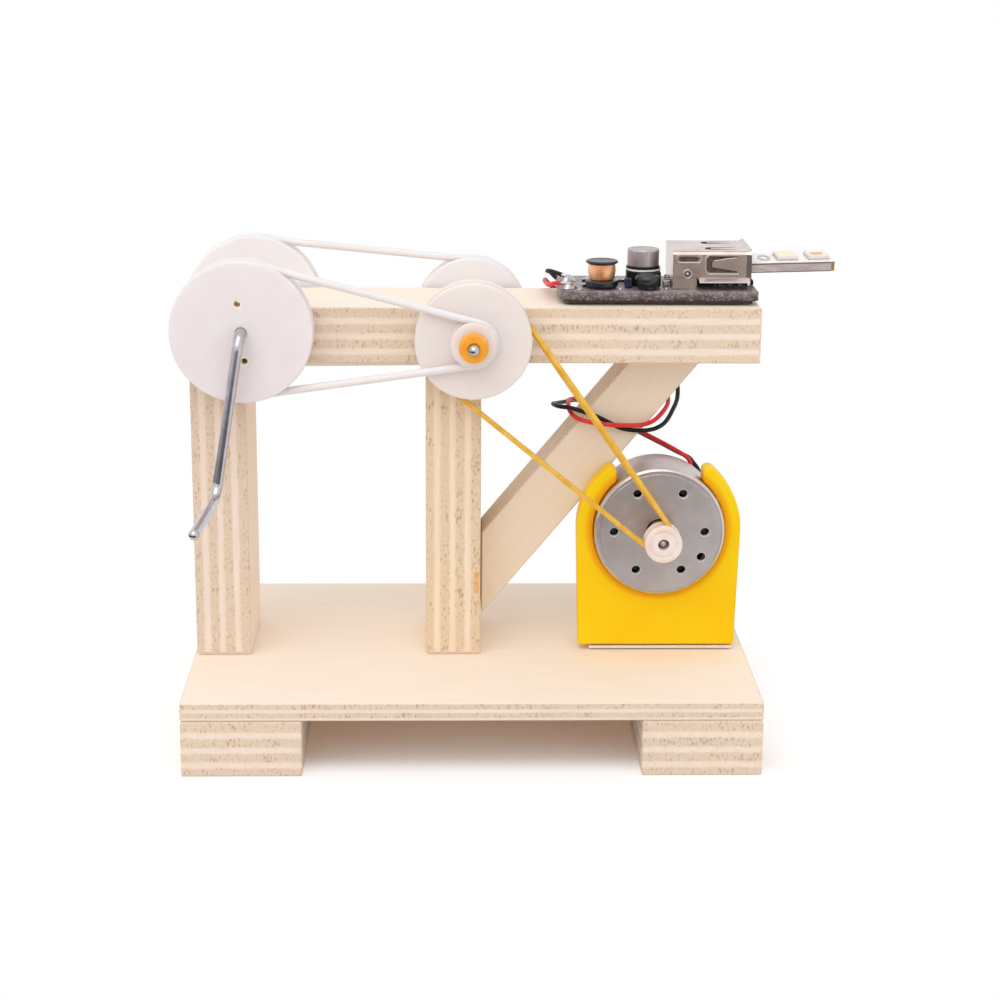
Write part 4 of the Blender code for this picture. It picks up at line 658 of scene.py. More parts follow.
# %% Crank and axles
def bent(points, radii, steps=10):
    """Rounds the corners of a path in space, each by its radius. With u and v the directions away from a
    corner P, the arc runs from P + t u to P + t v, where t is the radius over the tangent of half the
    angle between them."""
    points = [np.asarray(p, float) for p in points]
    path = [points[0]]
    for before, corner, after, radius in zip(points, points[1:], points[2:], radii):
        u, v = ((p - corner) / np.linalg.norm(p - corner) for p in (before, after))
        half = math.acos(np.dot(u, v)) / 2
        centre = corner + (u + v) / np.linalg.norm(u + v) * radius / math.sin(half)
        start, end = (corner + w * radius / math.tan(half) - centre for w in (u, v))
        sweep = math.pi - 2 * half
        share = np.linspace(0, 1, steps)[:, None]
        turning = start * np.sin(sweep * (1 - share)) + end * np.sin(sweep * share)
        path += list(centre + turning / math.sin(sweep))
    return np.array(path + [points[-1]])


def bar(name, path, radius, finish, body, replaces=(), sides=24):
    """A round bar with domed ends along a path."""
    path, taper = dome_ends(np.asarray(path, float), radius)
    tube = carried(circle(radius, sides), path, sideways(path), False, taper)
    piece(name, [tube], finish, body, replaces, sharp=80)


def straight(axis, start, end):
    """Points along the depth axis, from one Y to another."""
    return [(axis[0], y, axis[1]) for y in np.linspace(start, end, 9)]


ARM_LONG, ARM_LEAN, ARM_Y = 30.2, math.radians(9.3), -19.8
HANDLE_END, HANDLE_DRIFT = -44.0, 1.5
CRANK_BACK = 19.6
CRANK_RADIUS, CRANK_BENDS = 0.95, (2.6, 3.3)
AXLE_FRONT, AXLE_BACK, AXLE_RADIUS = -24.3, 22.6, 1.0
SHAFT_FRONT, SHAFT_BACK, SHAFT_RADIUS = -16.6, 3.3, 0.75
elbow_x = CRANK_AXIS[0] - ARM_LONG * math.sin(ARM_LEAN)
elbow_z = CRANK_AXIS[1] - ARM_LONG * math.cos(ARM_LEAN)
crank_points = [(CRANK_AXIS[0], CRANK_BACK, CRANK_AXIS[1]), (CRANK_AXIS[0], ARM_Y, CRANK_AXIS[1]),
                (elbow_x, ARM_Y, elbow_z), (elbow_x - HANDLE_DRIFT, HANDLE_END, elbow_z)]
bar("crank_rod_surface", bent(crank_points, CRANK_BENDS), CRANK_RADIUS, bright_steel, "crank",
    ["crank_rod"], 28)
bar("middle_axle_surface", straight(AXLE, AXLE_FRONT, AXLE_BACK), AXLE_RADIUS, bright_steel, "stand",
    ["middle_axle"])
bar("motor_shaft_surface", straight(MOTOR_AXIS, SHAFT_FRONT, SHAFT_BACK), SHAFT_RADIUS, bright_steel, "rotor",
    ["motor_shaft"])

# %% Orange collars
COLLAR_LONG, COLLAR_RADIUS = 3.0, 2.6
# Polyethylene is waxy, so its shaded side glows orange.
orange_plastic = toned("orange polyethylene, moulded", "#FDAE3A", 0.36, 2.0, "#FAA024", "#FEB23E",
                       Subsurface_Weight=0.2, Subsurface_Scale=0.001, Subsurface_Radius=(1.0, 0.4, 0.1),
                       Specular_IOR_Level=0.3)
for name, start in (("collar_front", -22.2), ("collar_back", 18.6)):
    end = start + COLLAR_LONG
    profile = rounded([(ROD_BORE, start), (COLLAR_RADIUS, start), (COLLAR_RADIUS, end), (ROD_BORE, end)],
                      [0.25, 0.4, 0.4, 0.25], 4, closed=True)
    piece(f"{name}_surface", [turned(profile, (AXLE[0], 0, AXLE[1]), segments=48, closed=True)],
          orange_plastic, "stand", [name])
print("crank, axles and collars")

# %% [markdown]
# ## The motor
# The can is one cup of zinc-plated steel, drawn from sheet: a flat face with holes punched in it, a
# small boss that carries the bearing, and a rim where the sheet turns the corner, with a painted
# highlight. The face is a flat plate cut round real holes, and the punch turns the sheet inwards, so
# each hole has a short wall, painted pale as a highlight. Behind the holes it is dark.

# %% Motor materials
# Zinc on drawn steel is a grey metal whose gloss changes from spot to spot.
drawn_steel, tree, shader, spot = surface("zinc-plated steel, drawn", "#C6BDBB", 0.36, Metallic=0.92)
wear = add(tree, "TexNoise", Vector=spot, Scale=per_metre(1.11), Detail=3.0)
fill(shader, Base_Color=mottled(tree, spot, 4.17, "#C0B7B5", "#CDC4C2", 5.0),
     Roughness=add(tree, "MapRange", Value=wear, To_Min=0.28, To_Max=0.46))
bumped(tree, shader, add(tree, "TexNoise", Vector=spot, Scale=per_metre(0.4), Detail=2.0), 0.012)
# The rim is glossier than the face, and its lighter colour is a painted highlight along the rounded corner.
rim_painted_highlight = toned("zinc-plated steel, rim with painted highlight", "#D2CBC9", 0.28, 2.0, "#CBC4C2", "#DAD3D1",
                    Metallic=0.95)
# The punched wall is kept rough and hardly metallic, and its near-white colour is a painted highlight where
# its lower side catches the light.
hole_wall_painted_highlight = toned("zinc-plated steel, punched edge", "#F0ECEA", 0.5, 1.11, "#EAE6E4", "#F6F3F1",
                     Metallic=0.15)
# Black nylon and ferrite are both nearly black: the nylon is matt, and the ferrite has a hard gloss.
black_plastic = toned("black nylon, moulded", "#111114", 0.5, 1.11, "#0D0D10", "#16161A",
                      Specular_IOR_Level=0.25)
ferrite = toned("pressed ferrite", "#101013", 0.3, 0.556, "#0C0C10", "#16161B", Specular_IOR_Level=0.7)
# Bronze pressed from powder shows fine brown specks, and a stack of steel sheets fine dark rings.
bronze = toned("sintered bronze, oiled", "#B08A4C", 0.42, 0.385, "#8E6B36", "#C39B5B", Metallic=1.0)
laminations = toned("silicon steel laminations", "#4A4A50", 0.5, 0.455, "#3C3C41", "#57575C",
                    squeeze=(0.1, 1, 0.1), Metallic=0.8)
# Clear enamel lets the copper's colour through and adds a gloss of its own.
copper = toned("enamelled copper wire", "#FFB680", 0.26, 3.33, "#E0854A", "#FFD6A8", Metallic=0.6)
# Acetal is waxy: light goes a little way in, so its shaded sides stay warm.
ivory = toned("ivory acetal, moulded", "#F8E6DC", 0.4, 2.38, "#EBD8CD", "#F4E7DF", Subsurface_Weight=0.25,
              Subsurface_Scale=0.001, Subsurface_Radius=(1.0, 0.7, 0.6))
print(len(bpy.data.materials), "materials so far")

# %% Motor can
MOTOR_FRONT, MOTOR_BACK = -9.0, 3.3
FACE = MOTOR_FRONT + 0.3   # the bright rim stands a little proud of the face
SHEET_THICK = 0.6
FACE_BACK = FACE + SHEET_THICK
CAN_RADIUS, CAN_INNER = 12.2, 11.6
RIM_INNER, RIM_DEEP = 11.74, 0.5
PLATE_RADIUS, BOSS_RADIUS = 10.8, 3.6
HOLE_RADIUS = 0.9
HOLE_DEEP = 1.2
HOLE_CIRCLE, ODD_HOLE_CIRCLE, ODD_HOLE_TURN = 8.5, 9.3, math.radians(-31.5)
FLAT_RING = 0.07           # a narrow flat ring round each hole keeps the face's light even
motor_at = (MOTOR_AXIS[0], 0, MOTOR_AXIS[1])


def round_motor(profile, segments=160, closed=False):
    """A surface of revolution about the motor's axis."""
    return turned(profile, motor_at, segments=segments, closed=closed)


def round_hole(profile, closed=False):
    """Surfaces of revolution about the seven holes: six on one circle, and one between them, farther out."""
    turns = np.append(np.arange(6) * math.pi / 3, ODD_HOLE_TURN)
    spots = np.column_stack([np.cos(turns), np.sin(turns)]) * ([[HOLE_CIRCLE]] * 6 + [[ODD_HOLE_CIRCLE]])
    walls = [turned(profile, (motor_at[0] + x, 0, motor_at[2] + z), segments=28, closed=closed)
             for x, z in spots]
    return spots, walls


shell = rounded([(PLATE_RADIUS, FACE), (11.1, FACE), (11.15, FACE + 0.12), (RIM_INNER, FACE + 0.12),
                 (RIM_INNER, FACE - 0.05), (CAN_RADIUS - 0.1, FACE + RIM_DEEP - 0.2),
                 (CAN_RADIUS, FACE + RIM_DEEP), (CAN_RADIUS, MOTOR_BACK), (CAN_INNER, MOTOR_BACK),
                 (CAN_INNER, FACE_BACK), (PLATE_RADIUS, FACE_BACK)],
                [0, 0.04, 0.04, 0.04, 0.05, 0.1, 0.1, 0.35, 0.15, 0.3, 0], 6)
boss = rounded([(2.2, FACE + 1.2), (2.55, FACE + 1.0), (2.55, FACE), (BOSS_RADIUS, FACE)],
               [0, 0.1, 0.25, 0], 5)
hole_spots, hole_rims = round_hole([(HOLE_RADIUS + FLAT_RING, FACE), (HOLE_RADIUS, FACE),
                                    (HOLE_RADIUS, FACE_BACK), (HOLE_RADIUS + FLAT_RING, FACE_BACK)])
cuts = [circle(BOSS_RADIUS, 96)] + [circle(HOLE_RADIUS + FLAT_RING, 28, spot) for spot in hole_spots]
parts = [round_motor(shell), round_motor(boss, 96),
         round_motor([(BOSS_RADIUS, FACE_BACK), (2.7, FACE_BACK)], 96)] + hole_rims
parts += [plate(circle(PLATE_RADIUS, 160), cuts, y, centre=motor_at) for y in (FACE, FACE_BACK)]
piece("motor_can_surface", parts, drawn_steel, "stand", ["motor_can"], sharp=28)

rim = rounded([(RIM_INNER, FACE + 0.2), (RIM_INNER, FACE - 0.1), (CAN_RADIUS + 0.02, FACE + RIM_DEEP - 0.1),
               (CAN_RADIUS + 0.02, FACE + RIM_DEEP), (CAN_RADIUS - 0.3, FACE + RIM_DEEP)],
              [0, 0.12, 0.4, 0.05, 0], 6)
piece("motor_can_edges", [round_motor(rim)], rim_painted_highlight, "stand")
hole_walls = round_hole([(HOLE_RADIUS + 0.01, FACE - 0.01), (HOLE_RADIUS - 0.04, FACE + 0.03),
                         (HOLE_RADIUS - 0.04, FACE + HOLE_DEEP), (HOLE_RADIUS + 0.01, FACE + HOLE_DEEP)],
                        closed=True)[1]
piece("motor_hole_walls", hole_walls, hole_wall_painted_highlight, "stand")
print("motor can with", len(hole_walls), "holes")

# %% [markdown]
# Behind the face sit the parts that make the current. They show only as dark shapes through the
# holes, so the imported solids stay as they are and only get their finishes. The pulley on the shaft
# is in plain view: a moulded flange with a shallow ring in its face, a groove, and a second flange.

# %% Motor parts
for node, finish in (("magnet_ring", ferrite), ("armature_core", laminations), ("armature_winding_1", copper),
                     ("armature_winding_2", copper), ("armature_winding_3", copper), ("commutator", bronze),
                     ("brush_left", bronze), ("brush_right", bronze), ("terminal_left", bright_steel),
                     ("terminal_right", bright_steel)):
    dress(node, finish)
for name, start, end in (("front_bush", FACE + 0.4, FACE + 1.6), ("rear_bush", MOTOR_BACK - 2.0, MOTOR_BACK)):
    profile = rounded([(1.05, start), (2.1, start), (2.1, end), (1.05, end)], 0.15, 3, closed=True)
    piece(f"{name}_surface", [round_motor(profile, 40, True)], bronze, "stand", [name])
cap = rounded([(2.4, 1.3), (11.3, 1.3), (11.3, MOTOR_BACK), (9.6, MOTOR_BACK), (9.4, MOTOR_BACK - 0.35),
               (4.6, MOTOR_BACK - 0.35), (4.4, MOTOR_BACK), (3.4, MOTOR_BACK + 0.25),
               (2.4, MOTOR_BACK + 0.25)],
              [0.1, 0.2, 0.3, 0.15, 0.2, 0.2, 0.15, 0.2, 0.1], 4, closed=True)
piece("motor_end_cap_surface", [round_motor(cap, 96, True)], black_plastic, "stand",
      ["motor_end_cap"])
PULLEY_FRONT, PULLEY_BACK, PULLEY_RADIUS = -17.4, -13.5, 3.45
pulley = rounded([(1.05, PULLEY_FRONT), (2.15, PULLEY_FRONT), (2.25, PULLEY_FRONT + 0.15),
                  (2.5, PULLEY_FRONT + 0.15), (2.6, PULLEY_FRONT), (PULLEY_RADIUS, PULLEY_FRONT),
                  (PULLEY_RADIUS, -15.8), (1.8, -15.8), (1.8, -14.3), (PULLEY_RADIUS, -14.3),
                  (PULLEY_RADIUS, PULLEY_BACK), (1.05, PULLEY_BACK)],
                 [0.12, 0.1, 0.06, 0.06, 0.1, 0.3, 0.2, 0.4, 0.4, 0.2, 0.3, 0.1], 5, closed=True)
piece("motor_pulley_surface", [round_motor(pulley, 72, True)], ivory, "rotor",
      ["motor_pulley"])
print("motor")

# %% [markdown]
# ## The yellow clip
# One moulding in yellow polypropylene holds the motor: a block with a round cradle and two springy
# arms that thin towards rounded tips. Its outline is made of arcs about the motor's own axis, and each
# side is the straight line from the block's corner that just touches the outer arc. A bevel rounds its
# edges as the mould does, and some subsurface scattering warms them. Next to the motor the plastic
# lies in the can's shade, and that shade is painted: its colour turns deeper and more orange with the
# distance from the motor's axis.

# %% Clip material
INNER, OUTER = 12.25, 15.4
CLIP_HALF, CLIP_FLOOR = 14.8, -22.7
CLIP_FRONT, CLIP_BACK = -7.0, -2.3
MOUTH_TURN = math.radians(49)
TIP_RADIUS = 1.2
CLIP_SHADE_FROM, CLIP_SHADE_TO = 11.9, 15.5        # the distance from the motor's axis over which the colour changes
yellow, tree, shader, spot = surface(
    "yellow polypropylene, moulded", "#FED00C", 0.4, Subsurface_Weight=0.15, Subsurface_Scale=0.0015,
    Subsurface_Radius=(1.0, 0.45, 0.05), Specular_IOR_Level=0.12)
# Painted shade: the yellow turns orange towards the motor's axis, where the can shades the clip.
centred = add(tree, "VectorMath", "SUBTRACT", n0=spot, n1=tuple(metres(motor_at)))
flat = add(tree, "VectorMath", "MULTIPLY", n0=centred, n1=(1, 0, 1))
reach = add(tree, "VectorMath", "LENGTH", n0=flat)
reach = add(tree, "MapRange", Value=reach, From_Min=CLIP_SHADE_FROM / 1000, From_Max=CLIP_SHADE_TO / 1000)
warm = add(tree, "ValToRGB", stops=[(0.0, "#EE8E0A"), (0.4, "#FBB80A"), (1.0, "#FFFFFF")], n0=reach)
plain = mottled(tree, spot, 16.7, "#FDCA0A", "#FED614", 2.0)
fill(shader, Base_Color=add(tree, "Mix", DARKEN, n0=1.0, n6=plain, n7=warm))
bumped(tree, shader, add(tree, "TexNoise", Vector=spot, Scale=per_metre(0.556), Detail=2.0), 0.008)


# %% Clip
def arc(centre, radius, start, end, count):
    """Points on part of a circle, from one angle to another."""
    a = np.linspace(start, end, count)
    return np.array(centre) + radius * np.column_stack([np.cos(a), np.sin(a)])


tip = np.array([INNER * math.cos(MOUTH_TURN) + TIP_RADIUS, 0.0])
tip[1] = math.sqrt((OUTER - TIP_RADIUS) ** 2 - tip[0] ** 2)
tip_turn = math.atan2(tip[1], tip[0])
corner_turn = math.atan2(CLIP_FLOOR, CLIP_HALF) + math.acos(OUTER / math.hypot(CLIP_HALF, CLIP_FLOOR))
right_arm = np.vstack([arc((0, 0), OUTER, corner_turn, tip_turn, 40),
                       arc(tip, TIP_RADIUS, tip_turn, math.pi, 14)[1:]])
cradle = arc((0, 0), INNER, MOUTH_TURN, -math.pi - MOUTH_TURN, 110)
left_arm = right_arm[::-1] * (-1, 1)
outline = np.vstack([[(-CLIP_HALF, CLIP_FLOOR), (CLIP_HALF, CLIP_FLOOR)], right_arm, cradle, left_arm])
piece("motor_bracket_surface", [prism(outline, CLIP_FRONT, CLIP_BACK, centre=motor_at)], yellow, "stand",
      ["motor_bracket"], edge=0.45)

# %% Foam tapes
# Foam has no gloss, and its cells show as tiny pits.
# The board's tape is real, and its dark grey is painted shade: the shadow under the board.
for node, name, tones, values in (
        ("bracket_tape", "white acrylic foam tape", ("#FBEAE2", "#F4E0D6", "#FBEAE1"),
         {"Subsurface_Weight": 0.3, "Subsurface_Scale": 0.001}),
        ("board_tape", "acrylic foam tape, grey as painted shade", ("#54483F", "#463B34", "#65584F"), {})):
    foam, tree, shader, spot = surface(name, tones[0], 0.85, **values)
    fill(shader, Base_Color=mottled(tree, spot, 0.667, *tones[1:]))
    bumped(tree, shader, add(tree, "TexVoronoi", Vector=spot, Scale=per_metre(0.333)), 0.05)
    dress(node, foam)
print("clip and tapes")

# %% [markdown]
# ## The voltage board
# The board is glass-fibre laminate. Its solder mask is dark and glossy, its sawn edge shows the cloth
# as grey and brown flecks, and the parts on it stand in small fillets of solder. Most parts are round,
# so they are turned; the chip and the tiny resistors are small blocks with rounded edges.

# %% Board sizes and materials
BOARD_LEFT, BOARD_RIGHT, BOARD_FRONT, BOARD_BACK = 16.0, 52.4, -7.0, 10.5
BOARD_TOP, BOARD_THICK = 82.8, 1.75
SEAT = BOARD_TOP + 0.1
EDGE_SHADE = 1.8           # how far down from the top the edge's shade runs
# Lacquered glass cloth: grey and brown flecks. On the sawn edge a painted sheen lightens the top and painted
# shade darkens the foot, and the pale flecks are partly the cloth's own and partly painted glints.
mask, tree, shader, spot = surface("glass-fibre laminate, lacquered", "#7C7274", 0.34)
place = add(tree, "SeparateXYZ", Vector=spot)
height = add(tree, "MapRange", Value=place.outputs[2], From_Min=(BOARD_TOP - EDGE_SHADE) / 1000,
             From_Max=BOARD_TOP / 1000)
painted_sheen_and_shade = add(tree, "ValToRGB", stops=[(0.04, "#6E6260"), (0.3, "#B8AEAC"), (0.8, "#F2ECEA")], n0=height)
cloth = mottled(tree, spot, 0.769, "#5B5052", "#998C8D", 4.0, squeeze=(0.45, 1, 1))
cloth = add(tree, "Mix", MULTIPLY, n0=1.0, n6=cloth, n7=painted_sheen_and_shade)
flecks = add(tree, "VectorMath", "MULTIPLY", n0=spot, n1=(0.6, 1, 1))
flecks = add(tree, "TexNoise", Vector=flecks, Scale=per_metre(0.435), Detail=2.0)
bright = add(tree, "MapRange", Value=flecks, From_Min=0.5, From_Max=0.78, To_Max=0.6)
fill(shader, Base_Color=add(tree, "Mix", BLEND, n0=bright, n6=cloth, n7=light("#CFC5C9")))
bumped(tree, shader, add(tree, "TexNoise", Vector=spot, Scale=per_metre(0.385), Detail=3.0), 0.05)
# Solder froze from a liquid: a mirror with soft waves in it.
solder = toned("tin solder, remelted", "#C9C6C8", 0.22, 0.667, "#A9A5A8", "#DEDBDC",
               relief=(1.11, 1.0, 0.06), Metallic=1.0)
# A drawn can has faint lines round it, which blur what it mirrors.
aluminium = toned("aluminium, drawn", "#BDB5B4", 0.42, 0.625, "#ABA3A2", "#C3BBBA", squeeze=(1, 1, 0.15),
                  Metallic=0.85)
# Plated sheet is smooth and slightly wavy, and gold is a warm thin coat over the same smoothness.
nickel = toned("nickel-plated steel sheet, folded", "#CDBDB5", 0.22, 3.85, "#BDACA3", "#D6C8C1", 4.0,
               relief=(1.43, 2.0, 0.01), Metallic=1.0)
gold = toned("gold-flashed contact", "#E2B867", 0.25, 0.833, "#D3A552", "#EBC67C", Metallic=1.0)
# White nylon glows a little from inside, and epoxy is a dark, glossy skin.
nylon = toned("white nylon, moulded", "#EFEBE8", 0.42, 1.43, "#E6E1DD", "#F5F2EF", Subsurface_Weight=0.2,
              Subsurface_Scale=0.001)
blue = toned("dark blue epoxy", "#16264A", 0.3, 1.11, "#101C38", "#1F3359")
print(len(bpy.data.materials), "materials so far")

# %% Board
board_outline = rounded([(BOARD_RIGHT, BOARD_FRONT), (BOARD_RIGHT, BOARD_BACK), (BOARD_LEFT, BOARD_BACK),
                         (BOARD_LEFT, BOARD_FRONT)], [0.3, 0.3, 3.2, 3.2], 8, closed=True)
piece("circuit_board_surface", [prism(board_outline, BOARD_TOP - BOARD_THICK, BOARD_TOP, "Z")], mask, "stand",
      ["circuit_board"], edge=0.38)


def on_board(x, y, rise=0.0):
    """A point over the board, from its left end and front edge."""
    return np.array([BOARD_LEFT + x, BOARD_FRONT + y, SEAT + rise])


def upright(name, profile, at, finish, replaces=(), segments=64, closed=False, sharp=38.0):
    """A part that is turned about an upright axis on the board."""
    piece(name, [turned(profile, at, "Z", segments, closed)], finish, "stand", replaces, sharp)


def block(name, low, size, finish, edge=0.12, replaces=()):
    """A small block from its lowest corner and its size, with rounded edges."""
    corners = np.array([(0, 0), (size[0], 0), (size[0], size[1]), (0, size[1])])
    piece(name, [prism(corners, 0, size[2], "Z", low)], finish, "stand", replaces, edge=edge)


# %% Drum inductor
DRUM_AT = on_board(7.9, 4.2)
drum = rounded([(0, 0), (2.75, 0), (3.0, 0.3), (3.0, 1.3), (1.5, 1.6), (1.5, 4.15), (2.95, 4.52),
                (2.95, 4.9), (2.75, 5.0), (2.2, 5.0), (2.1, 4.93), (0, 4.93)],
               [0, 0.15, 0.2, 0.2, 0.1, 0.1, 0.2, 0.12, 0.1, 0.1, 0.1, 0], 5)
upright("inductor_core_surface", drum, DRUM_AT, ferrite, ["inductor_core"])
WIRE_TURNS = 9
WINDING_LOW, WINDING_HIGH, WINDING_INNER = 1.5, 4.3, 1.65
share = np.linspace(0, 1, WIRE_TURNS * 6 + 1)
bulge = 2.12 + 0.3 * share ** 0.6 + 0.2 * np.sin(share * math.pi)
bulge = bulge + 0.02 * np.abs(np.sin(share * math.pi * WIRE_TURNS))
rows = WINDING_LOW + share * (WINDING_HIGH - WINDING_LOW)
winding = np.vstack([[(WINDING_INNER, WINDING_LOW)], np.column_stack([bulge, rows]),
                     [(WINDING_INNER, WINDING_HIGH)]])
upright("inductor_winding_surface", winding, DRUM_AT, copper, ["inductor_winding"], closed=True,
        sharp=60)

# %% Capacitor and small inductor
CAPACITOR_AT = on_board(15.8, 8.0)
foot = rounded([(-1.55, -3.1), (3.1, -3.1), (3.1, 3.1), (-1.55, 3.1), (-3.1, 1.55), (-3.1, -1.55)],
               0.25, 3, True)
piece("capacitor_base_surface", [prism(foot, 0, 2.65, "Z", CAPACITOR_AT)], black_plastic, "stand",
      ["capacitor_base"], edge=0.25)
can = rounded([(0, 3.05), (2.8, 3.05), (2.8, 3.35), (2.94, 3.5), (2.94, 6.6), (2.3, 6.6), (2.2, 6.52),
               (0, 6.52)], [0, 0.12, 0.14, 0.1, 0.4, 0.12, 0.12, 0], 5)
upright("capacitor_can_surface", can, CAPACITOR_AT, aluminium, ["capacitor_can"])
ring = rounded([(2.6, 2.62), (3.25, 2.62), (3.25, 2.98), (2.6, 2.98)], 0.1, 3, closed=True)
upright("capacitor_ring", ring, CAPACITOR_AT, nylon, closed=True)
# A black band at the can's foot: partly its seal, and partly painted shade under the can's crimp.
seal_and_crimp_shade = rounded([(2.5, 2.95), (3.12, 2.95), (3.12, 3.38), (2.5, 3.38)], 0.1, 3, closed=True)
upright("capacitor_seal_and_crimp_shade", seal_and_crimp_shade, CAPACITOR_AT, black_plastic, closed=True)
choke = rounded([(0, 0), (1.66, 0), (1.66, 0.5), (2.3, 1.43), (2.3, 2.1), (1.95, 2.6), (0, 2.6)],
                [0, 0.15, 0.3, 0.4, 0.3, 0.4, 0], 5)
upright("small_inductor_surface", choke, on_board(16.2, 2.3), ferrite, ["small_inductor"], 56)
print("drum inductor, capacitor and small inductor")

# %% Small blocks on the board
block("diode_surface", on_board(12.1, 3.4), (1.4, 1.8, 1.7), blue, 0.2, ["diode"])
block("resistor_surface", on_board(19.4, 5.6), (0.9, 1.6, 0.8), aluminium, 0.1, ["resistor"])
block("small_chip", on_board(25.9, 5.4), (3.0, 2.6, 0.9), black_plastic, 0.1)
CHIP_AT, CHIP_LONG, CHIP_WIDE = on_board(29.2, 6.2), 7.0, 3.6
block("boost_chip_surface", CHIP_AT + (0, 0, 0.12), (CHIP_LONG, CHIP_WIDE, 0.78), black_plastic,
      0.1, ["boost_chip"])
leads = []
for number in range(4):
    x = CHIP_LONG / 4 * (number + 0.5)
    for side, y in ((-1, 0.05), (1, CHIP_WIDE - 0.05)):
        lead = rounded([(0, 0.45), (0.18 * side, 0.45), (0.25 * side, 0.08), (0.5 * side, 0.08),
                        (0.5 * side, 0.0), (0.16 * side, 0.0), (0.1 * side, 0.37), (0, 0.37)], 0.03, 2, True)
        leads.append(prism(lead, x - 0.22, x + 0.22, "X", CHIP_AT + (0, y, 0)))
piece("boost_chip_leads", leads, solder, "stand")
print("blocks, and a chip with", len(leads), "leads")


# %% Solder
def puddle(name, at, size, height, replaces=(), rings=9, count=36):
    """A mound of solder: radius size (1 + 0.12 sin 2a + 0.08 cos 3a), height falling as cos(pi s / 2)."""
    share = np.linspace(0, 1, rings)[:, None]
    a = np.linspace(0, 2 * math.pi, count, endpoint=False)[None]
    reach = size * (1 + 0.12 * np.sin(2 * a) + 0.08 * np.cos(3 * a))
    points = np.stack([share * reach * np.cos(a), share * reach * np.sin(a),
                       height * np.cos(share * math.pi / 2) ** 0.8 + 0 * a], -1).reshape(-1, 3) + at
    rim = np.column_stack([points[-count:, 0], points[-count:, 1], np.full(count, at[2])])
    faces = grid_faces(rings, count) + [list(range(rings * count, (rings + 1) * count))]
    piece(name, [(np.vstack([points, rim]), faces)], solder, "stand", replaces, sharp=70)


RED_JOINT, BLACK_JOINT = (1.9, 3.0), (2.1, 11.0)
JOINT_RADIUS, JOINT_TALL, DOT_TALL = 1.35, 1.15, 0.3
for name, (x, y) in (("solder_joint_red", RED_JOINT), ("solder_joint_black", BLACK_JOINT)):
    puddle(f"{name}_surface", on_board(x, y), JOINT_RADIUS, JOINT_TALL, [name])
dots = ((3.9, 1.6, 0.55), (4.6, 6.9, 0.5), (11.2, 1.8, 0.5), (12.9, 6.6, 0.45), (19.7, 2.2, 0.5),
        (14.0, 13.3, 0.6), (18.0, 13.3, 0.6), (6.0, 13.6, 0.7))
for number, (x, y, size) in enumerate(dots, 1):
    puddle(f"solder_dot_{number}", on_board(x, y), size, DOT_TALL)

# %% Chip resistors
CHIP_SIDES, CHIP_END_SHARE = (1.6, 0.8), 0.22
for number, (x, y, along) in enumerate(((4.4, 3.9, 1), (4.6, 9.4, 0), (10.9, 9.0, 0), (20.0, 8.6, 1),
                                        (9.4, 13.0, 0)), 1):
    size = np.array([CHIP_SIDES[along], CHIP_SIDES[1 - along], 0.5])
    block(f"chip_resistor_{number}", on_board(x, y), size, ferrite, 0.06)
    cap_size, step = size.copy(), np.zeros(3)
    cap_size[along], cap_size[2] = size[along] * CHIP_END_SHARE, 0.56
    for end in (0, 1):
        step[along] = size[along] * (1 - CHIP_END_SHARE) * end
        block(f"chip_resistor_{number}_end_{end + 1}", on_board(x, y) + step, cap_size, solder,
              0.05)
print("voltage board")

# %% [markdown]
# ## Socket and light stick
# The socket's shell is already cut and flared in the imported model, as sheet metal is, so it stays and
# gets its nickel finish. Four legs come out at its back, and dark linings stand behind its cuts, because
# little light gets inside. The stick is a thick white board whose sawn edge shows brown, with gold pads
# at the end that plugs in, and two lights: each is a white ceramic block on two metal feet, with a
# window of phosphor in silicone on top.

# %% Socket
dress("usb_shell", nickel)
dress("usb_tongue", nylon)
SOCKET_BACK, SOCKET_Y = 36.8, 2.4
LEG, LEG_TALL, LEG_PITCH = 0.5, 1.0, 2.2
for number in range(4):
    y = SOCKET_Y + (number - 1.5) * LEG_PITCH
    block(f"socket_leg_{number + 1}", (SOCKET_BACK - 0.55, y - LEG / 2, SEAT), (LEG, LEG, LEG_TALL), solder,
          0.1)
shade_steel = toned("nickel-plated steel, inside the socket", "#5E5049", 0.5, 1.11, "#4E423C", "#6F6058",
                    Metallic=0.6)
LINING_START, LINING_LONG, LINING_THICK = 37.7, 12.5, 0.14
block("socket_lining_front", (LINING_START, -4.24, 84.95), (LINING_LONG, LINING_THICK, 4.3), shade_steel,
      0.04)
block("socket_lining_top", (LINING_START, -3.6, 89.2), (LINING_LONG, 12.0, LINING_THICK), shade_steel,
      0.04)
print("socket with four legs and two linings")

# %% [markdown]
# A punch leaves a raised, burnished edge round every cut in the shell. On the real socket these edges
# are what the eye sees first, so each is a thin round bead that follows its cut.

# %% Punched edges
SIDE_Y = SOCKET_Y - 7.0
BEAD = 0.15


def bead(points, closed):
    """A thin tube along a line (x, z) on the socket's side."""
    flat = np.asarray(points, float)
    path = np.column_stack([flat[:, 0], np.full(len(flat), SIDE_Y), flat[:, 1]])
    return carried(circle(BEAD, 8), path, np.tile([0.0, 1.0, 0.0], (len(path), 1)), closed)


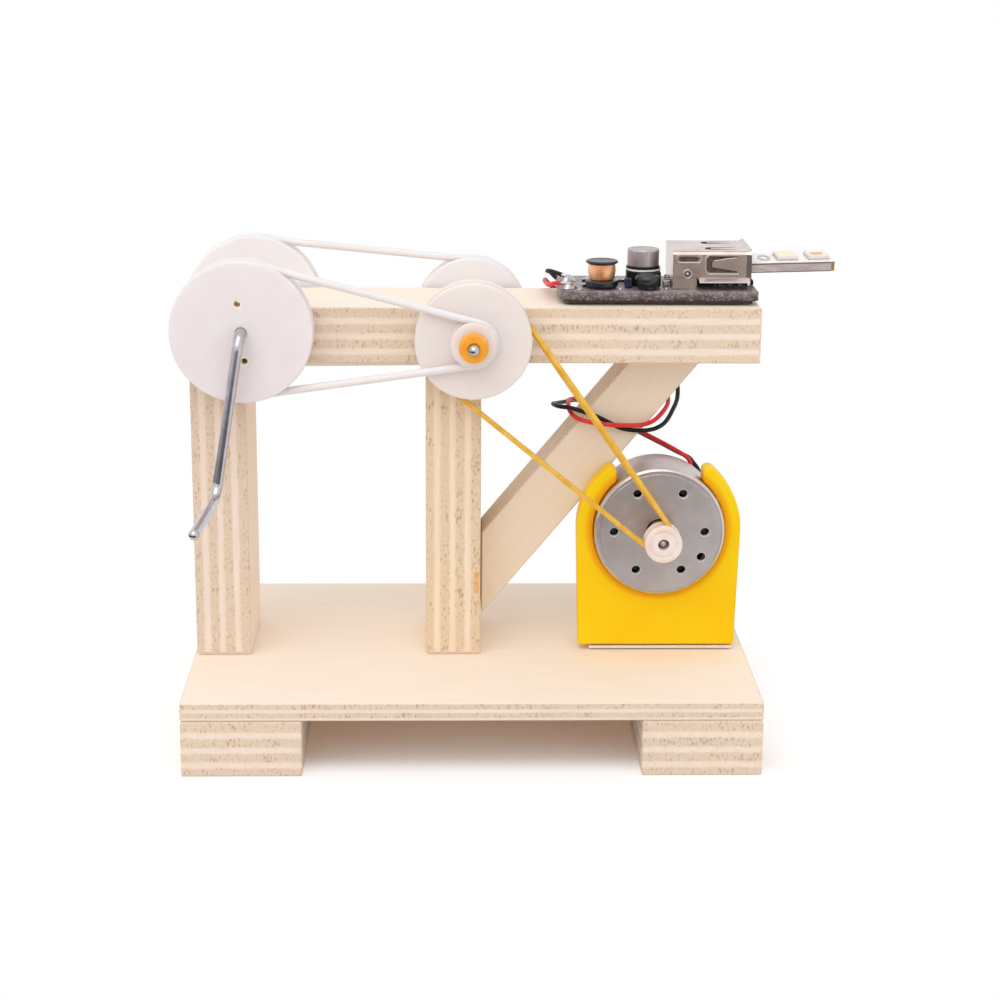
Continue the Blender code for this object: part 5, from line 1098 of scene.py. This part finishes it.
slot_edge = rounded([(37.4, 87.7), (41.9, 87.7), (41.9, 89.15), (37.4, 89.15)], 0.6, 6, closed=True)
hole_edge = circle(0.8, 28, (39.5, 85.6))
leaf_edge = rounded([(49.4, 89.15), (43.2, 89.15), (42.65, 88.4), (42.65, 86.4), (43.2, 85.6), (48.9, 85.6)],
                    [0, 0.5, 0.4, 0.4, 0.5, 0], 5)
prong_edge = [(44.3, 88.05), (46.2, 88.35), (48.5, 88.62)]
dimple = turned([(0.02, -0.18), (0.2, -0.16), (0.34, 0.0), (0.36, 0.3)], (39.5, SIDE_Y, 85.6), "Y", 20)
beads = [bead(slot_edge, True), bead(hole_edge, True), bead(leaf_edge, False), bead(prong_edge, False)]
piece("socket_edges", beads + [dimple], drawn_steel, "stand", sharp=70)
flange = rounded([(SIDE_Y + 0.1, 84.95), (SIDE_Y - 0.25, 84.9), (SIDE_Y - 1.5, 84.35), (SIDE_Y - 1.5, 84.15),
                  (SIDE_Y + 0.1, 84.6)], 0.08, 2, closed=True)
piece("socket_flange", [prism(flange, 41.6, 50.9, "X")], drawn_steel, "stand")
print("edges round the socket's cuts")

# %% [markdown]
# The stick's colour is worked out from place: where a face looks up it is white, and where it looks
# sideways it is the sawn edge, dark at the top and bottom sheets of glass cloth. The last 0.75 mm at the
# free end show the bare brown core. The stick sits with its free end a little up, so the height in the
# board is measured from the leaning middle.

# %% Stick materials
STICK_START, STICK_END = 39.3, 66.8
STICK_LOW, STICK_TOP, STICK_HALF = 85.6, 87.4, 6.0
STICK_LEAN, LEAN_FROM = math.tan(math.radians(1.6)), 50.0
CORE_LONG = 0.75
white_board, tree, shader, spot = surface("white solder mask on laminate", "#F4F0EE", 0.34,
                                          Specular_IOR_Level=0.3)
lean_start, core_start = (float(metres((x, 0, 0))[0]) for x in (LEAN_FROM, STICK_END - CORE_LONG))
facing = add(tree, "SeparateXYZ", Vector=tree.nodes["Texture Coordinate"].outputs["Normal"])
place = add(tree, "SeparateXYZ", Vector=spot)
side = add(tree, "Math", "ABSOLUTE", n0=facing.outputs[2])
side = add(tree, "Math", "LESS_THAN", n0=side, n1=0.75)
core = add(tree, "Math", "GREATER_THAN", n0=place.outputs[0], n1=core_start)
lean = add(tree, "Math", "SUBTRACT", n0=place.outputs[0], n1=lean_start)
lean = add(tree, "Math", "MULTIPLY", n0=lean, n1=STICK_LEAN)
height = add(tree, "Math", "SUBTRACT", n0=place.outputs[2], n1=lean)
height = add(tree, "MapRange", Value=height, From_Min=STICK_LOW / 1000, From_Max=STICK_TOP / 1000)
sheets = add(tree, "ValToRGB", n0=height, stops=[
    (0.06, "#8A827F"), (0.16, "#FFFFFF"), (0.78, "#FFFFFF"), (0.9, "#8A827F")])
sawn = mottled(tree, spot, 0.769, "#A99C97", "#CCBEBC", squeeze=(0.3, 1, 1))
sawn = add(tree, "Mix", MULTIPLY, n0=1.0, n6=sawn, n7=sheets)
bare = mottled(tree, spot, 0.769, "#8A6236", "#C59A62")
sawn = add(tree, "Mix", BLEND, n0=core, n6=sawn, n7=bare)
white = mottled(tree, spot, 2.0, "#F1ECEA", "#F7F4F2")
colour = add(tree, "Mix", BLEND, n0=side, n6=white, n7=sawn)
fill(shader, Base_Color=colour)
# Phosphor is a pale powder in clear silicone, so it looks milky, and the ceramic round it is matt.
phosphors = [toned(name, high, 0.35, 0.667, low, high, Specular_IOR_Level=0.3) for name, low, high in (
    ("yellow phosphor in silicone", "#F8E4BC", "#FBECCD"),
    ("pale phosphor in silicone", "#F8E9DA", "#FCF2E6"),
    ("orange phosphor on the chip", "#D39A66", "#E6B686"))]
ceramic = toned("white ceramic, pressed", "#EBE1DB", 0.5, 0.833, "#E2D7D0", "#F1E8E2")
print(len(bpy.data.materials), "materials so far")


# %% Light stick
def leaned(shape):
    """Lifts a shape towards the stick's free end: z + (x - start) tan(lean)."""
    points, faces = shape
    points = np.array(points, float)
    points[:, 2] += (points[:, 0] - LEAN_FROM) * STICK_LEAN
    return points, faces


def on_stick(name, outline, low, high, finish, replaces=(), at=(0, 0, STICK_TOP), edge=0.0):
    """A flat outline on the leaning stick, as thick as from low to high over its place."""
    shape = leaned(prism(outline, low, high, "Z", at))
    piece(name, [shape], finish, "light_stick", replaces, edge=edge)


stick_low, stick_high = SOCKET_Y - STICK_HALF, SOCKET_Y + STICK_HALF
stick_outline = rounded([(STICK_START, stick_low), (STICK_END, stick_low), (STICK_END, stick_high),
                         (STICK_START, stick_high)], 1.0, 6, closed=True)
on_stick("led_stick_board_surface", stick_outline, STICK_LOW - STICK_TOP, 0, white_board,
         ["led_stick_board"], edge=0.12)
CONTACT_WIDE = 1.1
for number, (y, long) in enumerate(((-3.5, 7.6), (-1.0, 6.6), (1.0, 6.6), (3.5, 7.6)), 1):
    pad = rounded([(0, 0), (long, 0), (long, CONTACT_WIDE), (0, CONTACT_WIDE)], 0.2, 3, True)
    on_stick(f"stick_contact_{number}", pad, 0.0, 0.05, gold,
             at=(STICK_START + 0.5, SOCKET_Y + y - CONTACT_WIDE / 2, STICK_TOP))
ring = rounded([(0.72, 0.0), (1.2, 0.0), (1.2, 0.12), (0.72, 0.12)], 0.05, 2, closed=True)
pad_points, pad_faces = turned(ring, (0, 0, STICK_TOP), "Z", 40, True)
pad_points = pad_points * (0.95, 2.6, 1.0) + (54.4, SOCKET_Y, 0.0)
piece("stick_test_pad", [leaned((pad_points, pad_faces))], drawn_steel, "light_stick")

# %% Lights
LED_WIDE, LED_DEEP, LED_TALL, FOOT_TALL = 3.7, 7.0, 0.7, 0.17
FRAME_X, FRAME_Y = 0.35, 0.5
PHOSPHOR_RISE, CHIP_RISE = 0.03, 0.05
body = rounded([(0, 0), (LED_WIDE, 0), (LED_WIDE, LED_DEEP), (0, LED_DEEP)], 0.3, 4, True)
window = rounded([(FRAME_X, FRAME_Y), (LED_WIDE - FRAME_X, FRAME_Y), (LED_WIDE - FRAME_X, LED_DEEP - FRAME_Y),
                  (FRAME_X, LED_DEEP - FRAME_Y)], 0.5, 6, True)
for number, start in enumerate((56.5, 62.3), 1):
    low = np.array([start, SOCKET_Y - LED_DEEP / 2, STICK_TOP])
    on_stick(f"led_body_{number}", body, 0.15, LED_TALL, ceramic, [f"led_chip_{number}"], low, 0.06)
    feet = [leaned(prism(body * (1.04, 0.3) + (-0.07, y), 0.0, FOOT_TALL, "Z", low))
            for y in (-0.15, LED_DEEP * 0.7 + 0.15)]
    piece(f"led_feet_{number}", feet, drawn_steel, "light_stick")
    on_stick(f"led_phosphor_{number}", window, LED_TALL, LED_TALL + PHOSPHOR_RISE, phosphors[number - 1],
             at=low)
die = rounded([(0.6, 1.4), (2.9, 1.4), (2.9, 4.1), (0.6, 4.1)], 0.3, 3, True)
on_stick("led_die_2", die, LED_TALL + PHOSPHOR_RISE, LED_TALL + CHIP_RISE, phosphors[2], at=low)
print("light stick with two lights")

# %% [markdown]
# ## Wires
# Two stranded wires in red and black PVC run from the motor's terminals, go once round the brace and
# climb behind the beam to the board. A short wire is stiff for its size, so it bows out in loose
# curves. The route is a smooth line through the same points as the solid's, and a tube follows it.
# Bare tinned strands show where each end is stripped for the solder.

# %% Wire materials
# PVC is smooth with a soft gloss, and its colour is even.
red_pvc = toned("red PVC insulation", "#DA2A2A", 0.42, 1.43, "#CE2226", "#E43A36", Specular_IOR_Level=0.3)
black_pvc = toned("black PVC insulation", "#0C0C0E", 0.42, 1.43, "#09090B", "#131316", Specular_IOR_Level=0.3)

# %% Wire routes
RED_ROUTE = (
    (41.3, 4.3, 44.9), (41.9, 4.3, 46.2), (42.1, 4.5, 47.4), (41.5, 4.8, 48.6), (39.7, 5.5, 49.7),
    (36.5, 7, 51.2), (32.9, 8.9, 52.7), (28.8, 9.8, 54.7), (24.5, 9.8, 57.1), (21.2, 10.2, 58.8),
    (18.9, 7, 59.5), (18.4, 2, 60), (18.3, -1, 59.6), (19.1, -2.8, 58.6), (20.8, -3.8, 57.9),
    (24.1, -4.4, 57.4), (27.7, -4.3, 57.1), (31.8, -3.9, 57.1), (34.2, -3.1, 57.8), (36.2, -0.4, 59),
    (37.3, 3, 59.7), (37.6, 6.5, 60.3), (37.7, 9.8, 61.5), (37.1, 12.2, 64.7), (35.5, 13.6, 68.6),
    (31.8, 13.9, 72.4), (25, 13.9, 76), (19, 13.8, 78.3), (15.6, 13.6, 80.1), (14.3, 12.5, 81.6),
    (14, 9.5, 81.9), (14.2, 5.5, 82.1), (14.4, 1.5, 82.5), (15.1, -1.6, 83.3), (16.5, -3.6, 83.8),
)
BLACK_ROUTE = (
    (43.7, 4.4, 42.7), (44.1, 4.8, 44.3), (43.7, 5.5, 46.1), (42.8, 6, 47.3), (41.9, 6.3, 48.3),
    (40, 7, 49.1), (36.8, 8.6, 50.5), (33.2, 10.5, 52), (29.1, 11.4, 54), (24.7, 11.3, 56.6),
    (20.9, 11.7, 58.3), (18.1, 9.4, 58.5), (16.3, 5.5, 59.1), (15.5, 1.8, 59.8), (16.4, -1.6, 60.1),
    (18.4, -3.3, 60.2), (20.5, -3.4, 59.6), (23.2, -3.1, 58.6), (25.8, -3, 57.3), (28.2, -3, 56.2),
    (31.1, -3, 55.8), (33.4, -2.9, 55.9), (35.2, -1.8, 56.2), (36.8, 0.2, 56.9), (38.3, 3.5, 58.3),
    (39.5, 7.2, 59.8), (39.7, 10.4, 62.2), (38.7, 13, 66), (37.2, 14.1, 69.9), (33.5, 14.1, 73.9),
    (26.2, 14.1, 77.6), (20.2, 14, 79.7), (16.8, 13.5, 81.5), (15, 11.2, 83.4), (14.4, 8.3, 84),
    (15, 6.2, 84.3), (17, 4.5, 83.9),
)

# %% Wires
WIRE_RADIUS, STRANDS_RADIUS, STRANDS_BITE = 0.42, 0.34, 0.4


def wire(node, route, finish):
    """A tube along the smooth route."""
    path = smooth_path(route, 6)
    tube = carried(circle(WIRE_RADIUS, 16), path, sideways(path))
    made = piece(f"{node}_surface", [tube], finish, "stand", [node], sharp=80)
    return path


def strands(name, path, target):
    """Bare strands from a cut end into the solder: a thin bar that sags into its mound."""
    start, direction = path[-1], directions(path)[-1]
    middle = (start + direction * 0.5 + target) / 2 + (0, 0, 0.1)
    route = smooth_path([start - direction * STRANDS_BITE, start, middle, target], 5)
    bar(name, route, STRANDS_RADIUS, solder, "stand", sides=12)


red_path = wire("wire_red", RED_ROUTE, red_pvc)
black_path = wire("wire_black", BLACK_ROUTE, black_pvc)
STRANDS_RISE = 0.45
strands("red_strands", red_path, on_board(*RED_JOINT, STRANDS_RISE))
strands("black_strands", black_path, on_board(*BLACK_JOINT, STRANDS_RISE))

# %% [markdown]
# ## The studio
# The object stands on a white floor in a white room. The world gives most of the light, from all
# round, and one large lamp from above and in front gives the shadows a direction. The camera and the
# metal see plain white behind the object, a strength of 1, and the floor only shows its own shading
# near the object, where the soft shadow lies. Two cards on the table, one dark and one brown, are seen
# by mirrors only. A photographer lays them there so that bright metal doesn't melt into the white.

# %% Lamps
def lamp(name, at, aim, size, power):
    """A square area lamp that faces a point, both in millimetres. A lamp shines along its -Z axis."""
    data = bpy.data.lights.new(name, "AREA")
    data.shape = "SQUARE"
    data.size = size
    data.energy = power
    made = bpy.data.objects.new(name, data)
    back = metres(at) - metres(aim)
    back /= np.linalg.norm(back)
    side = np.cross([0.0, 0.0, 1.0], back)
    side /= np.linalg.norm(side)
    turn = Matrix([list(row) for row in np.column_stack([side, np.cross(back, side), back])])
    made.matrix_world = Matrix.Translation(metres(at).tolist()) @ turn.to_4x4()
    bpy.context.scene.collection.objects.link(made)


lamp("key_lamp", at=(-150, -430, 660), aim=(0, 0, 40), size=0.8, power=2.45)
print("one lamp")

# %% World
world = bpy.data.worlds.new("white room")
bpy.context.scene.world = world
world.use_nodes = True
tree = world.node_tree
tree.nodes.clear()


def seen_rays(tree):
    """1 for camera, glossy and transmission rays, and 0 for the rays that carry light."""
    path = add(tree, "LightPath")
    seen = path.outputs["Is Camera Ray"]
    for ray in ("Is Glossy Ray", "Is Transmission Ray"):
        seen = add(tree, "Math", "MAXIMUM", n0=seen, n1=path.outputs[ray])
    return seen


ROOM_LIGHT = 0.83
glow = add(tree, "Background", Color=light("#FFFFFF"), Strength=ROOM_LIGHT)
white = add(tree, "Background", Color=light("#FFFFFF"), Strength=1.0)
mixed = add(tree, "MixShader", n0=seen_rays(tree), n1=glow, n2=white)
add(tree, "OutputWorld", Surface=mixed)
print("a white room")


# %% Floor and cards
def stage_plane(name, corners, height, finish):
    """A flat polygon at a height over the ground."""
    data = bpy.data.meshes.new(name)
    data.from_pydata([metres((x, y, height)).tolist() for x, y in corners], [], [list(range(len(corners)))])
    data.materials.append(finish)
    made = bpy.data.objects.new(name, data)
    bpy.context.scene.collection.objects.link(made)
    return made


FLOOR_HALF, CARD_RISE = 3000, 0.4
SHADE_HALVES, SHADE_FADE = (0.050, 0.0265), 0.013      # metres: the part of the floor that shows its shade
WARM_REACH, WARM_FRONT, WARM_BACK = 0.04, 0.03, 0.16   # metres, and the strength at its two ends
floor_paint, tree, shader, spot = surface("white floor paint", "#FFFFFF", 0.9, Specular_IOR_Level=0.0)
bounce = add(tree, "BsdfDiffuse", Color=light("#E6E1DE"))
place = add(tree, "SeparateXYZ", Vector=spot)
middle = [float(value) for value in BASE_MIDDLE]
steps = []
for axis, half in enumerate(SHADE_HALVES):
    step = add(tree, "Math", "SUBTRACT", n0=place.outputs[axis], n1=middle[axis])
    step = add(tree, "Math", "ABSOLUTE", n0=step)
    steps.append(add(tree, "Math", "SUBTRACT", n0=step, n1=half))
outside = add(tree, "Math", "MAXIMUM", n0=steps[0], n1=steps[1])
outside = add(tree, "MapRange", {"interpolation_type": "SMOOTHSTEP"}, Value=outside, From_Min=0.0,
              From_Max=SHADE_FADE)
# Painted bounce light: under the base the floor glows a warm orange, more towards the back, standing for
# light thrown off the wood's underside.
depth = add(tree, "MapRange", {"interpolation_type": "SMOOTHSTEP"}, Value=place.outputs[1],
            From_Min=middle[1] - WARM_REACH, From_Max=middle[1], To_Min=WARM_FRONT, To_Max=WARM_BACK)
fill(shader, Emission_Color=light("#FFA863"), Emission_Strength=depth)     # warm light off the underside
plain = add(tree, "Emission", Color=light("#FFFFFF"), Strength=1.0)
shown = add(tree, "MixShader", n0=outside, n1=shader, n2=plain)
both = add(tree, "MixShader", n0=seen_rays(tree), n1=bounce, n2=shown)
fill(tree.nodes["Material Output"], Surface=both)
stage_plane("studio_floor", [(-FLOOR_HALF, -FLOOR_HALF), (FLOOR_HALF, -FLOOR_HALF), (FLOOR_HALF, FLOOR_HALF),
                             (-FLOOR_HALF, FLOOR_HALF)], 0.0, floor_paint)

for name, paint, colour, corners in (
        ("dark_card", "dark grey card", "#3E3B40",
         [(-1500, -1500), (20, -1500), (70, -400), (120, -260), (35, -90), (-120, -70), (-160, 260),
          (-1500, 260)]),
        ("brown_card", "brown card", "#A6968C", [(20, -1500), (900, -1500), (240, -400), (70, -400)])):
    card = stage_plane(name, corners, CARD_RISE, surface(paint, colour, 0.9)[0])
    card.visible_camera = card.visible_diffuse = card.visible_transmission = card.visible_shadow = False
print("studio")

# %% Render settings that belong to the look
bpy.context.scene.view_settings.view_transform = "Standard"
